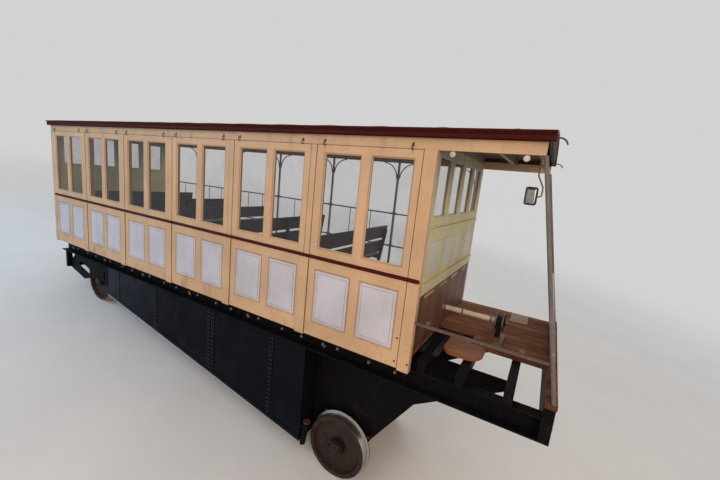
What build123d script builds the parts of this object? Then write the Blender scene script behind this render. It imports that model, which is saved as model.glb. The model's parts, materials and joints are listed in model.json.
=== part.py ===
from build123d import *
from math import asin, cos, radians, sin, sqrt, tan
import os

# Funicular car, in millimetres
# X runs downhill along the rails, Y across to the open boarding side, Z up from the rails
# The body stands on a wedge frame, so its own axes are turned by the wedge angle about Y
# In the body's own axes x is measured from the uphill end and z from the belt moulding

# Body sizes
wedge_angle = 8.0
bay_pitch = 1250
bay_count = 6
half_width = 1100
wall = 45
floor_level = -730
wall_foot = -909
frieze_depth = 100
eaves_board = 81
roof_rise = 110
roof_skin = 22
roof_end_lap = 165
roof_end_inset = 18
edge_board = 30
cornice_depth = 22
cornice_proud = 14
cornice_step = 7
seat_gap = 0.3

# Near side wall
bay_seam = 5
window_edges = (101, 534, 649, 1084)
window_foot = 107
window_head = 1112
window_head_rail = 86
panel_edges = (93, 538, 657, 1084)
panel_foot = -740
panel_head = -135
panel_recess = 14
panel_board = 8
field_rise = 5
field_slope = 38
pilaster_width = 130
pilaster_proud = 6
pilaster_drop = 12
sash_strip = 70
glass = 5
belt_radius = 20
wall_post = 55
carline = 45
carline_drop = 30

# End walls
corner_post = 85
near_end_post = 120
cabin_overrun = 35
end_windows = 4
end_window_gap = 100
end_window_margin = 80
end_window_foot = 600
end_window_head_rail = 33
end_panel_foot = 5
end_panel_head = 359
end_cream_foot = -158
end_boards = 14
board_seam = 4
end_rail_levels = (-44, 486)
end_rail = 26
post_thickness = 20
post_drop = 20

# Open side
column_radius = 20
column_inset = 24
bracket_reach = 240
bracket_bar = 14
guard_levels = (-146, 386)
guard_radius = 11
upright_radius = 6
uprights_per_bay = 2

# Benches
bench_back_offset = -140
bench_back_head = 190
bench_back = 28
bench_recline = 8.0
bench_height = 450
bench_seat = 36
bench_depth = 400
bench_end_gap = 60
bench_slats = 2
slat_gap = 40
bench_stand = 45
stand_leg = 42
stand_inset = 60
stand_head_drop = 60

# Driver's platform
platform_end = 8790
roof_front = 8420
plank = 40
plank_width = 137
plank_gap = 5
plank_start_gap = 15
front_plank = 90
platform_near_edge = 700
platform_start = 7960
well_side = -80
platform_carline = 420
front_post_radius = 17
front_post_head = 8372
front_post_setback = 30
dash_height = 620
dash_board = 25
handrail_radius = 16
screen_foot = -390
screen_sheet = 8
screen_rail = 24
screen_post_gap = 6
fixing_radius = 24
fixing_height = 9
fixing_edge = 30
fixing_margin = 134
upper_fixing_reach = 573
lower_fixing_reach = 797
brake_shaft_height = 200
brake_shaft_radius = 30
brake_shaft_across = -50
brake_hub_width = 110
brake_hub_place = 8190
pedestal_width = 110
pedestal_depth = 46
pedestal_start = 26
cross_timber = 52
cross_timber_gap = 4
cross_timber_ends = (-400, 190)
mirror_place = 8285
mirror_across = -250
mirror_level = 890
mirror_width = 115
mirror_height = 180
mirror_depth = 28
mirror_corner = 24
mirror_offset = 45
mirror_arm_radius = 7
arm_bow = 34
arm_bend = 20
arm_shoulder = 200
arm_elbow = 90

# Underframe in the body's axes
floor_board = 40
bearer_width = 80
sill_depth = 220
sill_flange = 122
sill_web = 14
sill_tail = 60
hub_plate_gap = 59.2
bearer_places = (3, 1210, 2460, 3710, 4960, 6210, 7440, 7600, 7970, 8390)
frame_tip_level = -1440
tip_beam = 110
strut_width = 70
strut_depth = 62
tip_plate = 12
tip_plate_lap = 170
tip_plate_clearance = 480
tip_hole_drop = 270
tip_slot_place = 560
tip_slot_length = 430
tip_slot_height = 105
tip_slot_tilt = -15
tip_window_inset = 100
tip_window_width = 70
tip_window_height = 150
tip_gap_place = 20
tip_gap_width = 170
tip_gap_height = 130
tip_gap_drop = 70
frame_plate = 16
frame_plate_inset = 60
platform_arm = 8440
platform_arm_depth = 80
platform_arm_drop = 430
horn_foot = 270
horn_cheek = 85
tank_start = 1450
tank_finish = 6150
uphill_axle_gap = 514.7
downhill_axle_gap = 509.1
tank_strap = 8
strap_width = 64
strap_head_gap = 40
seams_from_start = (380, 1550, 2910, 2990)
seams_from_finish = (550,)
valve_inset = 45
valve_level = 420
valve_flange_radius = 42
valve_flange = 14
valve_stub_radius = 28
valve_stub = 70
valve_radius = 36
valve_rise = 70
outlet_bore = 25
outlet_bore_depth = 60
outlet_foot = 190

# Running gear, measured along the rails from under the body's uphill corner
body_height = 1852
flange_depth = 28
gauge = 1435
wheel_radius = 390
rail_clearance_uphill = 330
rail_clearance_downhill = 215
flange_play = 6
flange_width = 30
tread_width = 105
tread_fall = 4
flange_chamfer = 6
flange_slope = 9
hub_radius = 105
hub_proud = 20
hub_box_gap = 5
disc_inset = 25
disc_thickness = 26
rim_thickness = 55
axle_radius = 62
journal_radius = 55
journal_play = 0.05
box_width = 180
box_height = 210
box_length = 115
box_wheel_gap = 21.5
pinion_teeth = 22
pinion_tip_radius = 300
tooth_height = 52
pinion_width = 110
pinion_rim = 45
pinion_web = 30
tooth_foot = 58
tooth_slope = 70
tooth_root = 8
drum_radius = 250
drum_width = 90
drum_across = 150
band_play = 6
band = 10
band_inset = 5
band_lug = 60
stretcher_level = 850
stretcher_depth = 110
stretcher_width = 90
spring_leaves = 5
spring_leaf = 11
spring_width = 50
spring_half_length = 360
spring_camber = 70
spring_buckle = 70
buckle_rise = 12
hanger_width = 44
hanger_height = 70
hanger_play = 2
drawbar_reach = 430
drawbar_width = 50
drawbar_eye_radius = 22
drawbar_boss_radius = 55
drawbar_plate = 20
drawbar_plate_half = 110
drawbar_plate_edge = 5

# Worked out places
lean = radians(wedge_angle)
cabin_length = bay_pitch * bay_count
cabin_end = cabin_length + cabin_overrun
bulkhead_start = cabin_end - wall
near_post_start = cabin_end - near_end_post
far_post_start = cabin_end - corner_post
end_wall_starts = (0, bulkhead_start)
post_width = wall + post_thickness
frieze_foot = window_head + window_head_rail
frieze_head = frieze_foot + frieze_depth
eaves_level = frieze_head + eaves_board
end_window_head = frieze_foot - end_window_head_rail
inner_face = half_width - wall
frieze_back = half_width - edge_board
row_zero_height = body_height + flange_depth
bearer_foot = wall_foot
sill_foot = wall_foot - seat_gap - sill_depth
carline_foot = frieze_head - carline_drop
front_beam = platform_end - front_plank
hub_start = brake_hub_place - brake_hub_width / 2
timber_end = hub_start + pedestal_start - cross_timber_gap

flange_back = gauge / 2 - flange_play - flange_width
tread_start = flange_back + flange_width
tread_end = tread_start + tread_width
hub_end = tread_end + hub_proud
sill_back = hub_end + hub_plate_gap + tip_plate + seat_gap
box_end = flange_back - box_wheel_gap
box_start = box_end - box_length
frame_plate_across = box_end - frame_plate_inset

uphill_reach = -drawbar_reach - drawbar_boss_radius
downhill_reach = platform_end * cos(lean) - sill_foot * sin(lean)
row_shift = -(uphill_reach + downhill_reach) / 2

along = Vector(cos(lean), 0, sin(lean))
upward = Vector(-sin(lean), 0, cos(lean))
body_corner = Vector(row_shift, 0, row_zero_height)

axle_drop = (body_height - wheel_radius) * sin(lean)
uphill_axle = (tank_start - uphill_axle_gap + axle_drop) / cos(lean)
downhill_axle = (tank_finish + downhill_axle_gap + axle_drop) / cos(lean)
axle_places = (uphill_axle, downhill_axle)

half_span = half_width - seat_gap
roof_radius = (half_span ** 2 + roof_rise ** 2) / (2 * roof_rise)


def body_point(x, y, z):
    """A point given along, across and above the body's uphill corner."""
    return body_corner + along * x + Vector(0, y, 0) + upward * z


def side_plane(y):
    """Upright plane along the body, facing the near side."""
    return Plane(origin=body_point(0, y, 0), x_dir=along, z_dir=Vector(0, -1, 0))


def cross_plane(x):
    """Upright plane across the body, facing downhill."""
    return Plane(origin=body_point(x, 0, 0), x_dir=Vector(0, 1, 0), z_dir=along)


def level_plane(z):
    """Plane parallel to the cabin floor, facing up."""
    return Plane(origin=body_point(0, 0, z), x_dir=along, z_dir=upward)


def rail_plane(y):
    """Upright plane along the rails, facing the near side, with its origin on the rail top."""
    return Plane(origin=(row_shift, y, flange_depth), x_dir=(1, 0, 0), z_dir=(0, -1, 0))


def from_rail(s, h):
    """Body x and z of a point s along the rails and h above them."""
    rise = h - body_height
    return (s * cos(lean) + rise * sin(lean), -s * sin(lean) + rise * cos(lean))


def rail_level(x, h):
    """Body z at body x of a line h above the rails."""
    return (h - body_height - x * sin(lean)) / cos(lean)


def roof_level(y, drop):
    """Height of the roof's arc at y across, let down by drop."""
    return eaves_level - drop + sqrt(roof_radius ** 2 - y ** 2) - (roof_radius - roof_rise)


def board(x0, x1, z0, z1, mode=Mode.ADD):
    """A rectangle between two corners, in the sketch that is open."""
    with Locations(((x0 + x1) / 2, (z0 + z1) / 2)):
        Rectangle(x1 - x0, z1 - z0, mode=mode)


def frame_board(x0, x1, z0, z1, inset):
    """A rectangle drawn in by inset from each of its four sides."""
    board(x0 + inset, x1 - inset, z0 + inset, z1 - inset)


def outline(*points):
    """A straight sided face through the points, in the sketch that is open."""
    with BuildLine() as edge:
        Polyline(*points, close=True)
    make_face(edge.line)


def finish(piece, name):
    """Label a finished piece and write it."""
    piece.part.label = name
    export_step(piece.part, f"parts/{name}.step")


os.makedirs("parts", exist_ok=True)

# Near side wall, one framed section for each bay
bay_starts = [bay_pitch * bay for bay in range(bay_count)]
section = bay_pitch - bay_seam
section_ends = [start + section for start in bay_starts[:-1]] + [near_post_start - bay_seam]

with BuildPart() as near_lower_wall:
    with BuildSketch(side_plane(-inner_face)):
        for start, end in zip(bay_starts, section_ends):
            board(start, end, wall_foot, -seat_gap)
    extrude(amount=wall)
    with BuildSketch(side_plane(-half_width)):
        for start in bay_starts:
            board(start + panel_edges[0], start + panel_edges[1], panel_foot, panel_head)
            board(start + panel_edges[2], start + panel_edges[3], panel_foot, panel_head)
    extrude(amount=-panel_recess, mode=Mode.SUBTRACT)
    with BuildSketch(side_plane(-inner_face)):
        for start in bay_starts[:-1]:
            board(start + section - pilaster_width, start + section, wall_foot - pilaster_drop,
                  -belt_radius - seat_gap)
    extrude(amount=wall + pilaster_proud)
finish(near_lower_wall, "near_lower_wall")

# Raised and fielded panels: a board in each recess, whose face slopes up to a flat field
with BuildPart() as near_inset_panels:
    for start in bay_starts:
        for left, right in (panel_edges[:2], panel_edges[2:]):
            edges = (start + left, start + right, panel_foot, panel_head)
            with BuildSketch(side_plane(-half_width + panel_recess)):
                frame_board(*edges, seat_gap)
            extrude(amount=panel_board)
            with BuildSketch(side_plane(-half_width + panel_recess - panel_board)):
                frame_board(*edges, seat_gap)
            with BuildSketch(side_plane(-half_width + panel_recess - panel_board - field_rise)):
                frame_board(*edges, field_slope)
            loft(ruled=True)
finish(near_inset_panels, "near_inset_panels")

with BuildPart() as near_sashes:
    with BuildSketch(side_plane(-inner_face)):
        for start, end in zip(bay_starts, section_ends):
            board(start, end, seat_gap, frieze_foot - seat_gap)
            for left, right in (window_edges[:2], window_edges[2:]):
                board(start + left, start + right, window_foot, window_head, Mode.SUBTRACT)
    extrude(amount=wall)
    with BuildSketch(side_plane(-half_width)):
        for start in bay_starts[:-1]:
            board(start + section - sash_strip, start + section, belt_radius + seat_gap,
                  frieze_foot - seat_gap)
    extrude(amount=pilaster_proud)
finish(near_sashes, "near_sashes")

with BuildPart() as near_glass:
    with BuildSketch(side_plane(-inner_face - wall / 2)):
        for start in bay_starts:
            for left, right in (window_edges[:2], window_edges[2:]):
                board(start + left + seat_gap, start + right - seat_gap,
                      window_foot + seat_gap, window_head - seat_gap)
    extrude(amount=glass)
finish(near_glass, "near_glass")

with BuildPart() as near_wall_posts:
    with BuildSketch(level_plane(floor_level + seat_gap)):
        for start in bay_starts[1:]:
            with Locations((start, -inner_face + wall_post / 2)):
                Rectangle(wall_post, wall_post)
    extrude(amount=carline_foot - floor_level - 2 * seat_gap)
finish(near_wall_posts, "near_wall_posts")

with BuildPart() as belt_moulding:
    with BuildSketch(cross_plane(0)):
        with Locations((-half_width, 0)):
            Circle(belt_radius)
        board(-half_width, 0, -2 * belt_radius, 2 * belt_radius, Mode.SUBTRACT)
    extrude(amount=cabin_end - belt_radius)
finish(belt_moulding, "belt_moulding")

# Friezes run on over the driver's platform to the roof's end board
end_board_start = roof_front - roof_end_inset - edge_board
with BuildPart() as friezes:
    with BuildSketch(cross_plane(-corner_post)):
        for side in (-1, 1):
            with Locations((side * (half_width - edge_board / 2), (frieze_foot + frieze_head) / 2)):
                Rectangle(edge_board, frieze_head - frieze_foot)
    extrude(amount=end_board_start + corner_post)
finish(friezes, "friezes")

# Roof skin bent to one arc over its full width
roof_length = roof_front + roof_end_lap
with BuildPart() as roof:
    with BuildSketch(cross_plane(-roof_end_lap)):
        with BuildLine():
            top = ThreePointArc((-half_span, eaves_level), (0, eaves_level + roof_rise),
                                (half_span, eaves_level))
            drop = Line(top @ 1, (half_span, eaves_level - roof_skin))
            low = ThreePointArc(drop @ 1, (0, roof_level(0, roof_skin)),
                                (-half_span, eaves_level - roof_skin))
            Line(low @ 1, top @ 0)
        make_face()
    extrude(amount=roof_length)
finish(roof, "roof")

# Deep boards along the roof's two sides, with a cornice along their heads
cornice_foot = eaves_level - cornice_depth
with BuildPart() as roof_side_boards:
    with BuildSketch(cross_plane(-roof_end_lap)):
        for side in (-1, 1):
            inside = side * half_width
            face = side * (half_width + edge_board)
            lip = side * (half_width + edge_board + cornice_step)
            tip = side * (half_width + edge_board + cornice_proud)
            outline((inside, frieze_head), (face, frieze_head), (face, cornice_foot), (lip, cornice_foot),
                    (tip, (cornice_foot + eaves_level) / 2), (tip, eaves_level), (inside, eaves_level))
    extrude(amount=roof_length)
finish(roof_side_boards, "roof_side_boards")


def arched_board(half, foot):
    """A board with a level foot whose head fits under the roof skin."""
    fit = roof_skin + seat_gap
    with BuildLine() as edge:
        side = roof_level(half, fit)
        crown = ThreePointArc((-half, side), (0, roof_level(0, fit)), (half, side))
        Polyline(crown @ 1, (half, foot), (-half, foot), crown @ 0)
    make_face(edge.line)


# Arched boards close the roof's two ends, set back under its edge
with BuildPart() as roof_end_boards:
    for start in (roof_end_inset - roof_end_lap, end_board_start):
        with BuildSketch(cross_plane(start)):
            arched_board(half_span, frieze_head + seat_gap)
        extrude(amount=edge_board)
finish(roof_end_boards, "roof_end_boards")

# Carlines carry the roof over each bay line, over the end walls and over the platform
carline_places = [start - carline / 2 for start in bay_starts[1:]]
carline_places += [0, bulkhead_start, cabin_length + platform_carline, mirror_place]
with BuildPart() as roof_carlines:
    for place in carline_places:
        with BuildSketch(cross_plane(place)):
            arched_board(frieze_back - seat_gap, carline_foot)
        extrude(amount=carline)
finish(roof_carlines, "roof_carlines")

# Corner posts as (body x of the start, width along the body, low and high y)
near_edges = (-half_width, -half_width + post_width)
far_edges = (half_width - post_width, half_width)
corner_places = ((-corner_post, corner_post, *near_edges), (-corner_post, corner_post, *far_edges),
                 (near_post_start, near_end_post, *near_edges), (far_post_start, corner_post, *far_edges))
with BuildPart() as corner_posts:
    with BuildSketch(level_plane(wall_foot - post_drop)):
        for start, width, low, high in corner_places:
            board(start, start + width, low, high)
    extrude(amount=frieze_foot - wall_foot + post_drop - seat_gap)
finish(corner_posts, "corner_posts")

# End walls with four windows over four panels
end_half = half_width - post_width - seat_gap
end_pitch = (2 * end_half - 2 * end_window_margin + end_window_gap) / end_windows
end_opening = end_pitch - end_window_gap
end_lefts = [-end_half + end_window_margin + end_pitch * light for light in range(end_windows)]
panel_faces = (0, cabin_end - panel_recess)
with BuildPart() as end_walls:
    for start in end_wall_starts:
        with BuildSketch(cross_plane(start)):
            board(-end_half, end_half, end_cream_foot, carline_foot - seat_gap)
            for left in end_lefts:
                board(left, left + end_opening, end_window_foot, end_window_head, Mode.SUBTRACT)
        extrude(amount=wall)
    for start in panel_faces:
        with BuildSketch(cross_plane(start)):
            for left in end_lefts:
                board(left, left + end_opening, end_panel_foot, end_panel_head)
        extrude(amount=panel_recess, mode=Mode.SUBTRACT)
finish(end_walls, "end_walls")

# Each end panel as (back of its board, way that it faces)
panel_seats = ((panel_recess, -1), (cabin_end - panel_recess, 1))
with BuildPart() as end_inset_panels:
    for start, way in panel_seats:
        for left in end_lefts:
            edges = (left, left + end_opening, end_panel_foot, end_panel_head)
            with BuildSketch(cross_plane(start)):
                frame_board(*edges, seat_gap)
            extrude(amount=way * panel_board)
            with BuildSketch(cross_plane(start + way * panel_board)):
                frame_board(*edges, seat_gap)
            with BuildSketch(cross_plane(start + way * (panel_board + field_rise))):
                frame_board(*edges, field_slope)
            loft(ruled=True)
finish(end_inset_panels, "end_inset_panels")

with BuildPart() as end_glass:
    for start in end_wall_starts:
        with BuildSketch(cross_plane(start + wall / 2)):
            for left in end_lefts:
                board(left + seat_gap, left + end_opening - seat_gap,
                      end_window_foot + seat_gap, end_window_head - seat_gap)
        extrude(amount=glass)
finish(end_glass, "end_glass")

with BuildPart() as end_wall_rails:
    for face in (-end_rail, cabin_end):
        with BuildSketch(cross_plane(face)):
            for level in end_rail_levels:
                board(-end_half, end_half, level - end_rail / 2, level + end_rail / 2)
        extrude(amount=end_rail)
finish(end_wall_rails, "end_wall_rails")

board_pitch = (2 * end_half + board_seam) / end_boards
with BuildPart() as end_wall_boards:
    for start in end_wall_starts:
        with BuildSketch(cross_plane(start)):
            for index in range(end_boards):
                left = -end_half + board_pitch * index
                board(left, left + board_pitch - board_seam, floor_level + seat_gap,
                      end_cream_foot - seat_gap)
        extrude(amount=wall)
finish(end_wall_boards, "end_wall_boards")

# Cabin floor, notched round the downhill corner posts, and the board that closes its open edge
with BuildPart() as cabin_floor:
    with BuildSketch(level_plane(floor_level - floor_board)):
        board(0, cabin_end, -inner_face + seat_gap, frieze_back - seat_gap)
        for start, width, low, high in corner_places[2:]:
            board(start - seat_gap, cabin_end, low - seat_gap, high + seat_gap, Mode.SUBTRACT)
    extrude(amount=floor_board)
finish(cabin_floor, "cabin_floor")

with BuildPart() as far_edge_board:
    with BuildSketch(side_plane(half_width)):
        board(0, far_post_start - seat_gap, wall_foot, floor_level)
    extrude(amount=edge_board)
finish(far_edge_board, "far_edge_board")

# Far columns with a curved bracket each way at their heads
column_across = half_width - column_inset
with BuildPart() as far_columns:
    with BuildSketch(level_plane(floor_level + seat_gap)):
        for start in bay_starts[1:]:
            with Locations((start, column_across)):
                Circle(column_radius)
    extrude(amount=frieze_foot - floor_level - 2 * seat_gap)
finish(far_columns, "far_columns")

# Open spans between columns, each with its two ends
span_lefts = [0] + [start + column_radius for start in bay_starts[1:]]
span_rights = [start - column_radius for start in bay_starts[1:]] + [far_post_start]
spans = [(left + seat_gap, right - seat_gap) for left, right in zip(span_lefts, span_rights)]

with BuildPart() as column_brackets:
    with BuildSketch(side_plane(column_across + bracket_bar / 2)):
        top_edge = frieze_foot - seat_gap
        low_edge = top_edge - bracket_reach
        slim = bracket_reach - bracket_bar
        for left, right in spans:
            for foot, way in ((left, 1), (right, -1)):
                centre = foot + way * bracket_reach
                mid = way * bracket_reach * sin(radians(45))
                slim_mid = way * slim * sin(radians(45))
                with BuildLine():
                    outer = ThreePointArc((foot, low_edge), (centre - mid, low_edge + abs(mid)),
                                          (centre, top_edge))
                    step = Line(outer @ 1, (centre, top_edge - bracket_bar))
                    inner = ThreePointArc(step @ 1, (centre - slim_mid, low_edge + abs(slim_mid)),
                                          (foot + way * bracket_bar, low_edge))
                    Line(inner @ 1, outer @ 0)
                make_face()
    extrude(amount=bracket_bar)
finish(column_brackets, "column_brackets")

with BuildPart() as guard_bars:
    for left, right in spans:
        with BuildSketch(cross_plane(left)):
            for level in guard_levels:
                with Locations((column_across, level)):
                    Circle(guard_radius)
        extrude(amount=right - left)
finish(guard_bars, "guard_bars")

upright_foot = guard_levels[0] + guard_radius + seat_gap
with BuildPart() as guard_uprights:
    with BuildSketch(level_plane(upright_foot)):
        for left, right in spans:
            for index in range(uprights_per_bay):
                share = (index + 1) / (uprights_per_bay + 1)
                with Locations((left + (right - left) * share, column_across)):
                    Circle(upright_radius)
    extrude(amount=guard_levels[1] - guard_radius - seat_gap - upright_foot)
finish(guard_uprights, "guard_uprights")

# Benches face uphill, one to each bay
bench_near = -inner_face + wall_post + bench_end_gap
bench_far = column_across - column_radius - bench_end_gap
bench_top = floor_level + bench_height
bench_backs_at = [bay_pitch * (bay + 1) + bench_back_offset for bay in range(bay_count)]
recline = tan(radians(bench_recline))
slat_height = (bench_back_head - bench_top) / bench_slats - slat_gap

with BuildPart() as bench_seats:
    with BuildSketch(side_plane(bench_far)):
        for place in bench_backs_at:
            board(place - bench_depth, place, bench_top - bench_seat, bench_top)
    extrude(amount=bench_far - bench_near)
finish(bench_seats, "bench_seats")

with BuildPart() as bench_backs:
    with BuildSketch(side_plane(bench_far)):
        for place in bench_backs_at:
            for slat in range(bench_slats):
                foot = bench_top + slat_gap + slat * (slat_height + slat_gap)
                head = foot + slat_height
                low = place + (foot - bench_top) * recline
                high = place + (head - bench_top) * recline
                outline((low, foot), (low + bench_back, foot), (high + bench_back, head), (high, head))
    extrude(amount=bench_far - bench_near)
finish(bench_backs, "bench_backs")

# Each bench has three stands: a front leg, a rail under the seat and a raked back leg
stand_head = bench_back_head - stand_head_drop
stand_foot = floor_level + seat_gap
seat_under = bench_top - bench_seat - seat_gap
stand_places = (bench_far - stand_inset, (bench_far + bench_near + bench_stand) / 2,
                bench_near + stand_inset + bench_stand)
with BuildPart() as bench_stands:
    for across in stand_places:
        with BuildSketch(side_plane(across)):
            for place in bench_backs_at:
                rake_foot = place + bench_back + seat_gap + (stand_foot - bench_top) * recline
                rake_head = place + bench_back + seat_gap + (stand_head - bench_top) * recline
                leg_start = place - bench_depth + stand_leg
                rail_foot = seat_under - stand_leg
                rail_end = rake_foot + (rail_foot - stand_foot) * recline - seat_gap
                outline((rake_foot, stand_foot), (rake_foot + stand_leg, stand_foot),
                        (rake_head + stand_leg, stand_head), (rake_head, stand_head))
                board(leg_start + stand_leg + seat_gap, rail_end, rail_foot, seat_under)
                board(leg_start, leg_start + stand_leg, stand_foot, seat_under)
        extrude(amount=bench_stand)
finish(bench_stands, "bench_stands")

# Driver's platform: lengthwise planks, with a well left open on the near side, and a timber across them
plank_foot = floor_level - plank
near_plank_edge = -half_width + platform_near_edge
plank_pitch = plank_width + plank_gap
plank_count = int((2 * half_width - platform_near_edge) / plank_pitch)
with BuildPart() as platform_floor:
    with BuildSketch(level_plane(plank_foot)):
        for index in range(plank_count):
            edge = near_plank_edge + plank_pitch * index
            start = platform_start if edge + plank_width / 2 < well_side else cabin_end + plank_start_gap
            board(start, front_beam - plank_gap, edge, edge + plank_width)
        board(front_beam, platform_end, -half_width, half_width)
    extrude(amount=plank)
    with BuildSketch(level_plane(floor_level + seat_gap)):
        board(timber_end - cross_timber, timber_end, *cross_timber_ends)
    extrude(amount=cross_timber)
finish(platform_floor, "platform_floor")

# Front posts rake forward towards their feet
post_across = half_width - front_post_radius
post_foot = platform_end - front_post_setback
post_height = frieze_foot - floor_level - 2 * seat_gap
post_rake = (front_post_head - post_foot) / (frieze_foot - floor_level)
post_way = (upward + along * post_rake).normalized()
with BuildPart() as front_posts:
    with BuildSketch(level_plane(floor_level + seat_gap)):
        for side in (-1, 1):
            with Locations((post_foot, side * post_across)):
                Circle(front_post_radius)
    extrude(amount=post_height * sqrt(1 + post_rake ** 2), dir=post_way)
finish(front_posts, "front_posts")


def post_line(z):
    """Body x of the front posts' centre line at height z."""
    return post_foot + post_rake * (z - floor_level)


dash_half = post_across - front_post_radius - seat_gap
dash_foot = floor_level + seat_gap
dash_head = floor_level + dash_height
with BuildPart() as front_dash:
    with BuildSketch(side_plane(dash_half)):
        half_board = dash_board / 2
        low = post_line(dash_foot)
        high = post_line(dash_head)
        outline((low - half_board, dash_foot), (low + half_board, dash_foot),
                (high + half_board, dash_head), (high - half_board, dash_head))
    extrude(amount=2 * dash_half)
finish(front_dash, "front_dash")

handrail_level = dash_head + seat_gap + handrail_radius
with BuildPart() as front_handrail:
    with BuildSketch(side_plane(dash_half)):
        with Locations((post_line(handrail_level), handrail_level)):
            Circle(handrail_radius)
    extrude(amount=2 * dash_half)
finish(front_handrail, "front_handrail")

# Clear screen on the near side of the platform, held by a foot rail and round fixings
screen_left = cabin_end + 2 * seat_gap
screen_head = frieze_foot - seat_gap
screen_clear = front_post_radius + screen_post_gap
with BuildPart() as side_screen:
    with BuildSketch(side_plane(-half_width + screen_sheet)):
        outline((screen_left, screen_foot), (post_line(screen_foot) - screen_clear, screen_foot),
                (post_line(screen_head) - screen_clear, screen_head), (screen_left, screen_head))
    extrude(amount=screen_sheet)
finish(side_screen, "side_screen")

rail_end_x = post_line(screen_foot) - front_post_radius - seat_gap
with BuildPart() as screen_foot_rail:
    with BuildSketch(side_plane(-half_width + screen_rail)):
        board(screen_left, rail_end_x, screen_foot - seat_gap - screen_rail, screen_foot - seat_gap)
    extrude(amount=screen_rail)
finish(screen_foot_rail, "screen_foot_rail")

fixing_left = screen_left + fixing_margin
upper_fixings = screen_head - fixing_edge
lower_fixings = screen_foot + fixing_edge
fixing_places = ((fixing_left, upper_fixings), (fixing_left + upper_fixing_reach, upper_fixings),
                 (fixing_left, lower_fixings), (fixing_left + lower_fixing_reach, lower_fixings))
with BuildPart() as screen_fixings:
    with BuildSketch(side_plane(-half_width - seat_gap)):
        with Locations(*fixing_places):
            Circle(fixing_radius)
    extrude(amount=fixing_height)
finish(screen_fixings, "screen_fixings")

# Brake shaft from the bulkhead to its drum, which stands on a pedestal
shaft_level = floor_level + brake_shaft_height
with BuildPart() as brake_shaft:
    with BuildSketch(cross_plane(cabin_end + seat_gap)):
        with Locations((brake_shaft_across, shaft_level)):
            Circle(brake_shaft_radius)
    extrude(amount=hub_start - cabin_end - 2 * seat_gap)
finish(brake_shaft, "brake_shaft")

# Drum as steps of (start, end, radius), with a pedestal under it
hub_steps = ((0, 22, 95), (22, 74, 66), (74, 96, 95), (96, 110, 40))
with BuildPart() as brake_drum:
    for start, end, radius in hub_steps:
        with BuildSketch(cross_plane(hub_start + start)):
            with Locations((brake_shaft_across, shaft_level)):
                Circle(radius)
        extrude(amount=end - start)
    with BuildSketch(cross_plane(hub_start + pedestal_start)):
        board(brake_shaft_across - pedestal_width / 2, brake_shaft_across + pedestal_width / 2,
              floor_level + seat_gap, shaft_level)
    extrude(amount=pedestal_depth)
finish(brake_drum, "brake_drum")

# Mirror with its bent arm under the foremost carline
mirror_right = mirror_place + mirror_offset
with BuildPart() as mirror:
    with BuildSketch(side_plane(mirror_across)):
        with Locations((mirror_right - mirror_width / 2, mirror_level)):
            RectangleRounded(mirror_width, mirror_height, mirror_corner)
    extrude(amount=mirror_depth)
finish(mirror, "mirror")

arm_across = mirror_across - mirror_depth / 2
arm_root = mirror_place + carline / 2
arm_head = carline_foot - seat_gap
arm_out = mirror_right + arm_bow
with BuildPart() as mirror_arm:
    with BuildLine(side_plane(arm_across)):
        FilletPolyline((arm_root, arm_head), (arm_root, mirror_level + arm_shoulder),
                       (arm_out, mirror_level + arm_elbow), (arm_out, mirror_level),
                       (mirror_right + seat_gap, mirror_level), radius=arm_bend)
    arm_start = body_point(arm_root, arm_across, arm_head)
    with BuildSketch(Plane(origin=arm_start, x_dir=(0, 1, 0), z_dir=-upward)):
        Circle(mirror_arm_radius)
    sweep()
finish(mirror_arm, "mirror_arm")

# Side sills are channels with their flanges outwards, notched where a corner post comes down past them
with BuildPart() as side_sills:
    with BuildSketch(cross_plane(-sill_tail)):
        sill_head = wall_foot - seat_gap
        for side in (-1, 1):
            back = side * sill_back
            web = side * (sill_back + sill_web)
            tip = side * (sill_back + sill_flange)
            outline((back, sill_head), (tip, sill_head), (tip, sill_head - sill_web),
                    (web, sill_head - sill_web), (web, sill_foot + sill_web), (tip, sill_foot + sill_web),
                    (tip, sill_foot), (back, sill_foot))
    extrude(amount=front_beam - seat_gap + sill_tail)
    with BuildSketch(level_plane(sill_head)):
        for start, width, low, high in corner_places:
            board(start - seat_gap, start + width + seat_gap, min(low - seat_gap, 2 * low),
                  max(high + seat_gap, 2 * high))
    extrude(amount=-post_drop, mode=Mode.SUBTRACT)
finish(side_sills, "side_sills")

# Floor bearers lie across the sills
bearer_half = half_width - post_width - seat_gap
bearer_head = floor_level - floor_board - seat_gap
with BuildPart() as floor_bearers:
    with BuildSketch(side_plane(bearer_half)):
        for place in bearer_places:
            board(place, place + bearer_width, bearer_foot, bearer_head)
    extrude(amount=2 * bearer_half)
finish(floor_bearers, "floor_bearers")

# Downhill headstock closes the platform's front
headstock_half = sill_back + sill_flange
with BuildPart() as downhill_headstock:
    with BuildSketch(side_plane(headstock_half)):
        board(front_beam, platform_end, sill_foot, bearer_head)
    extrude(amount=2 * headstock_half)
finish(downhill_headstock, "downhill_headstock")

# Outer plates that taper to the uphill tip, with a long hole and a slot
plate_outer = sill_back - seat_gap
tip_foot = frame_tip_level - tip_beam / 2
plate_head = sill_foot + tip_plate_lap
tip_hole_level = sill_foot - tip_hole_drop
tank_face = tank_start - seat_gap
gap_head = sill_foot - tip_gap_drop
gap_lean = tip_gap_width / 4

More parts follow.
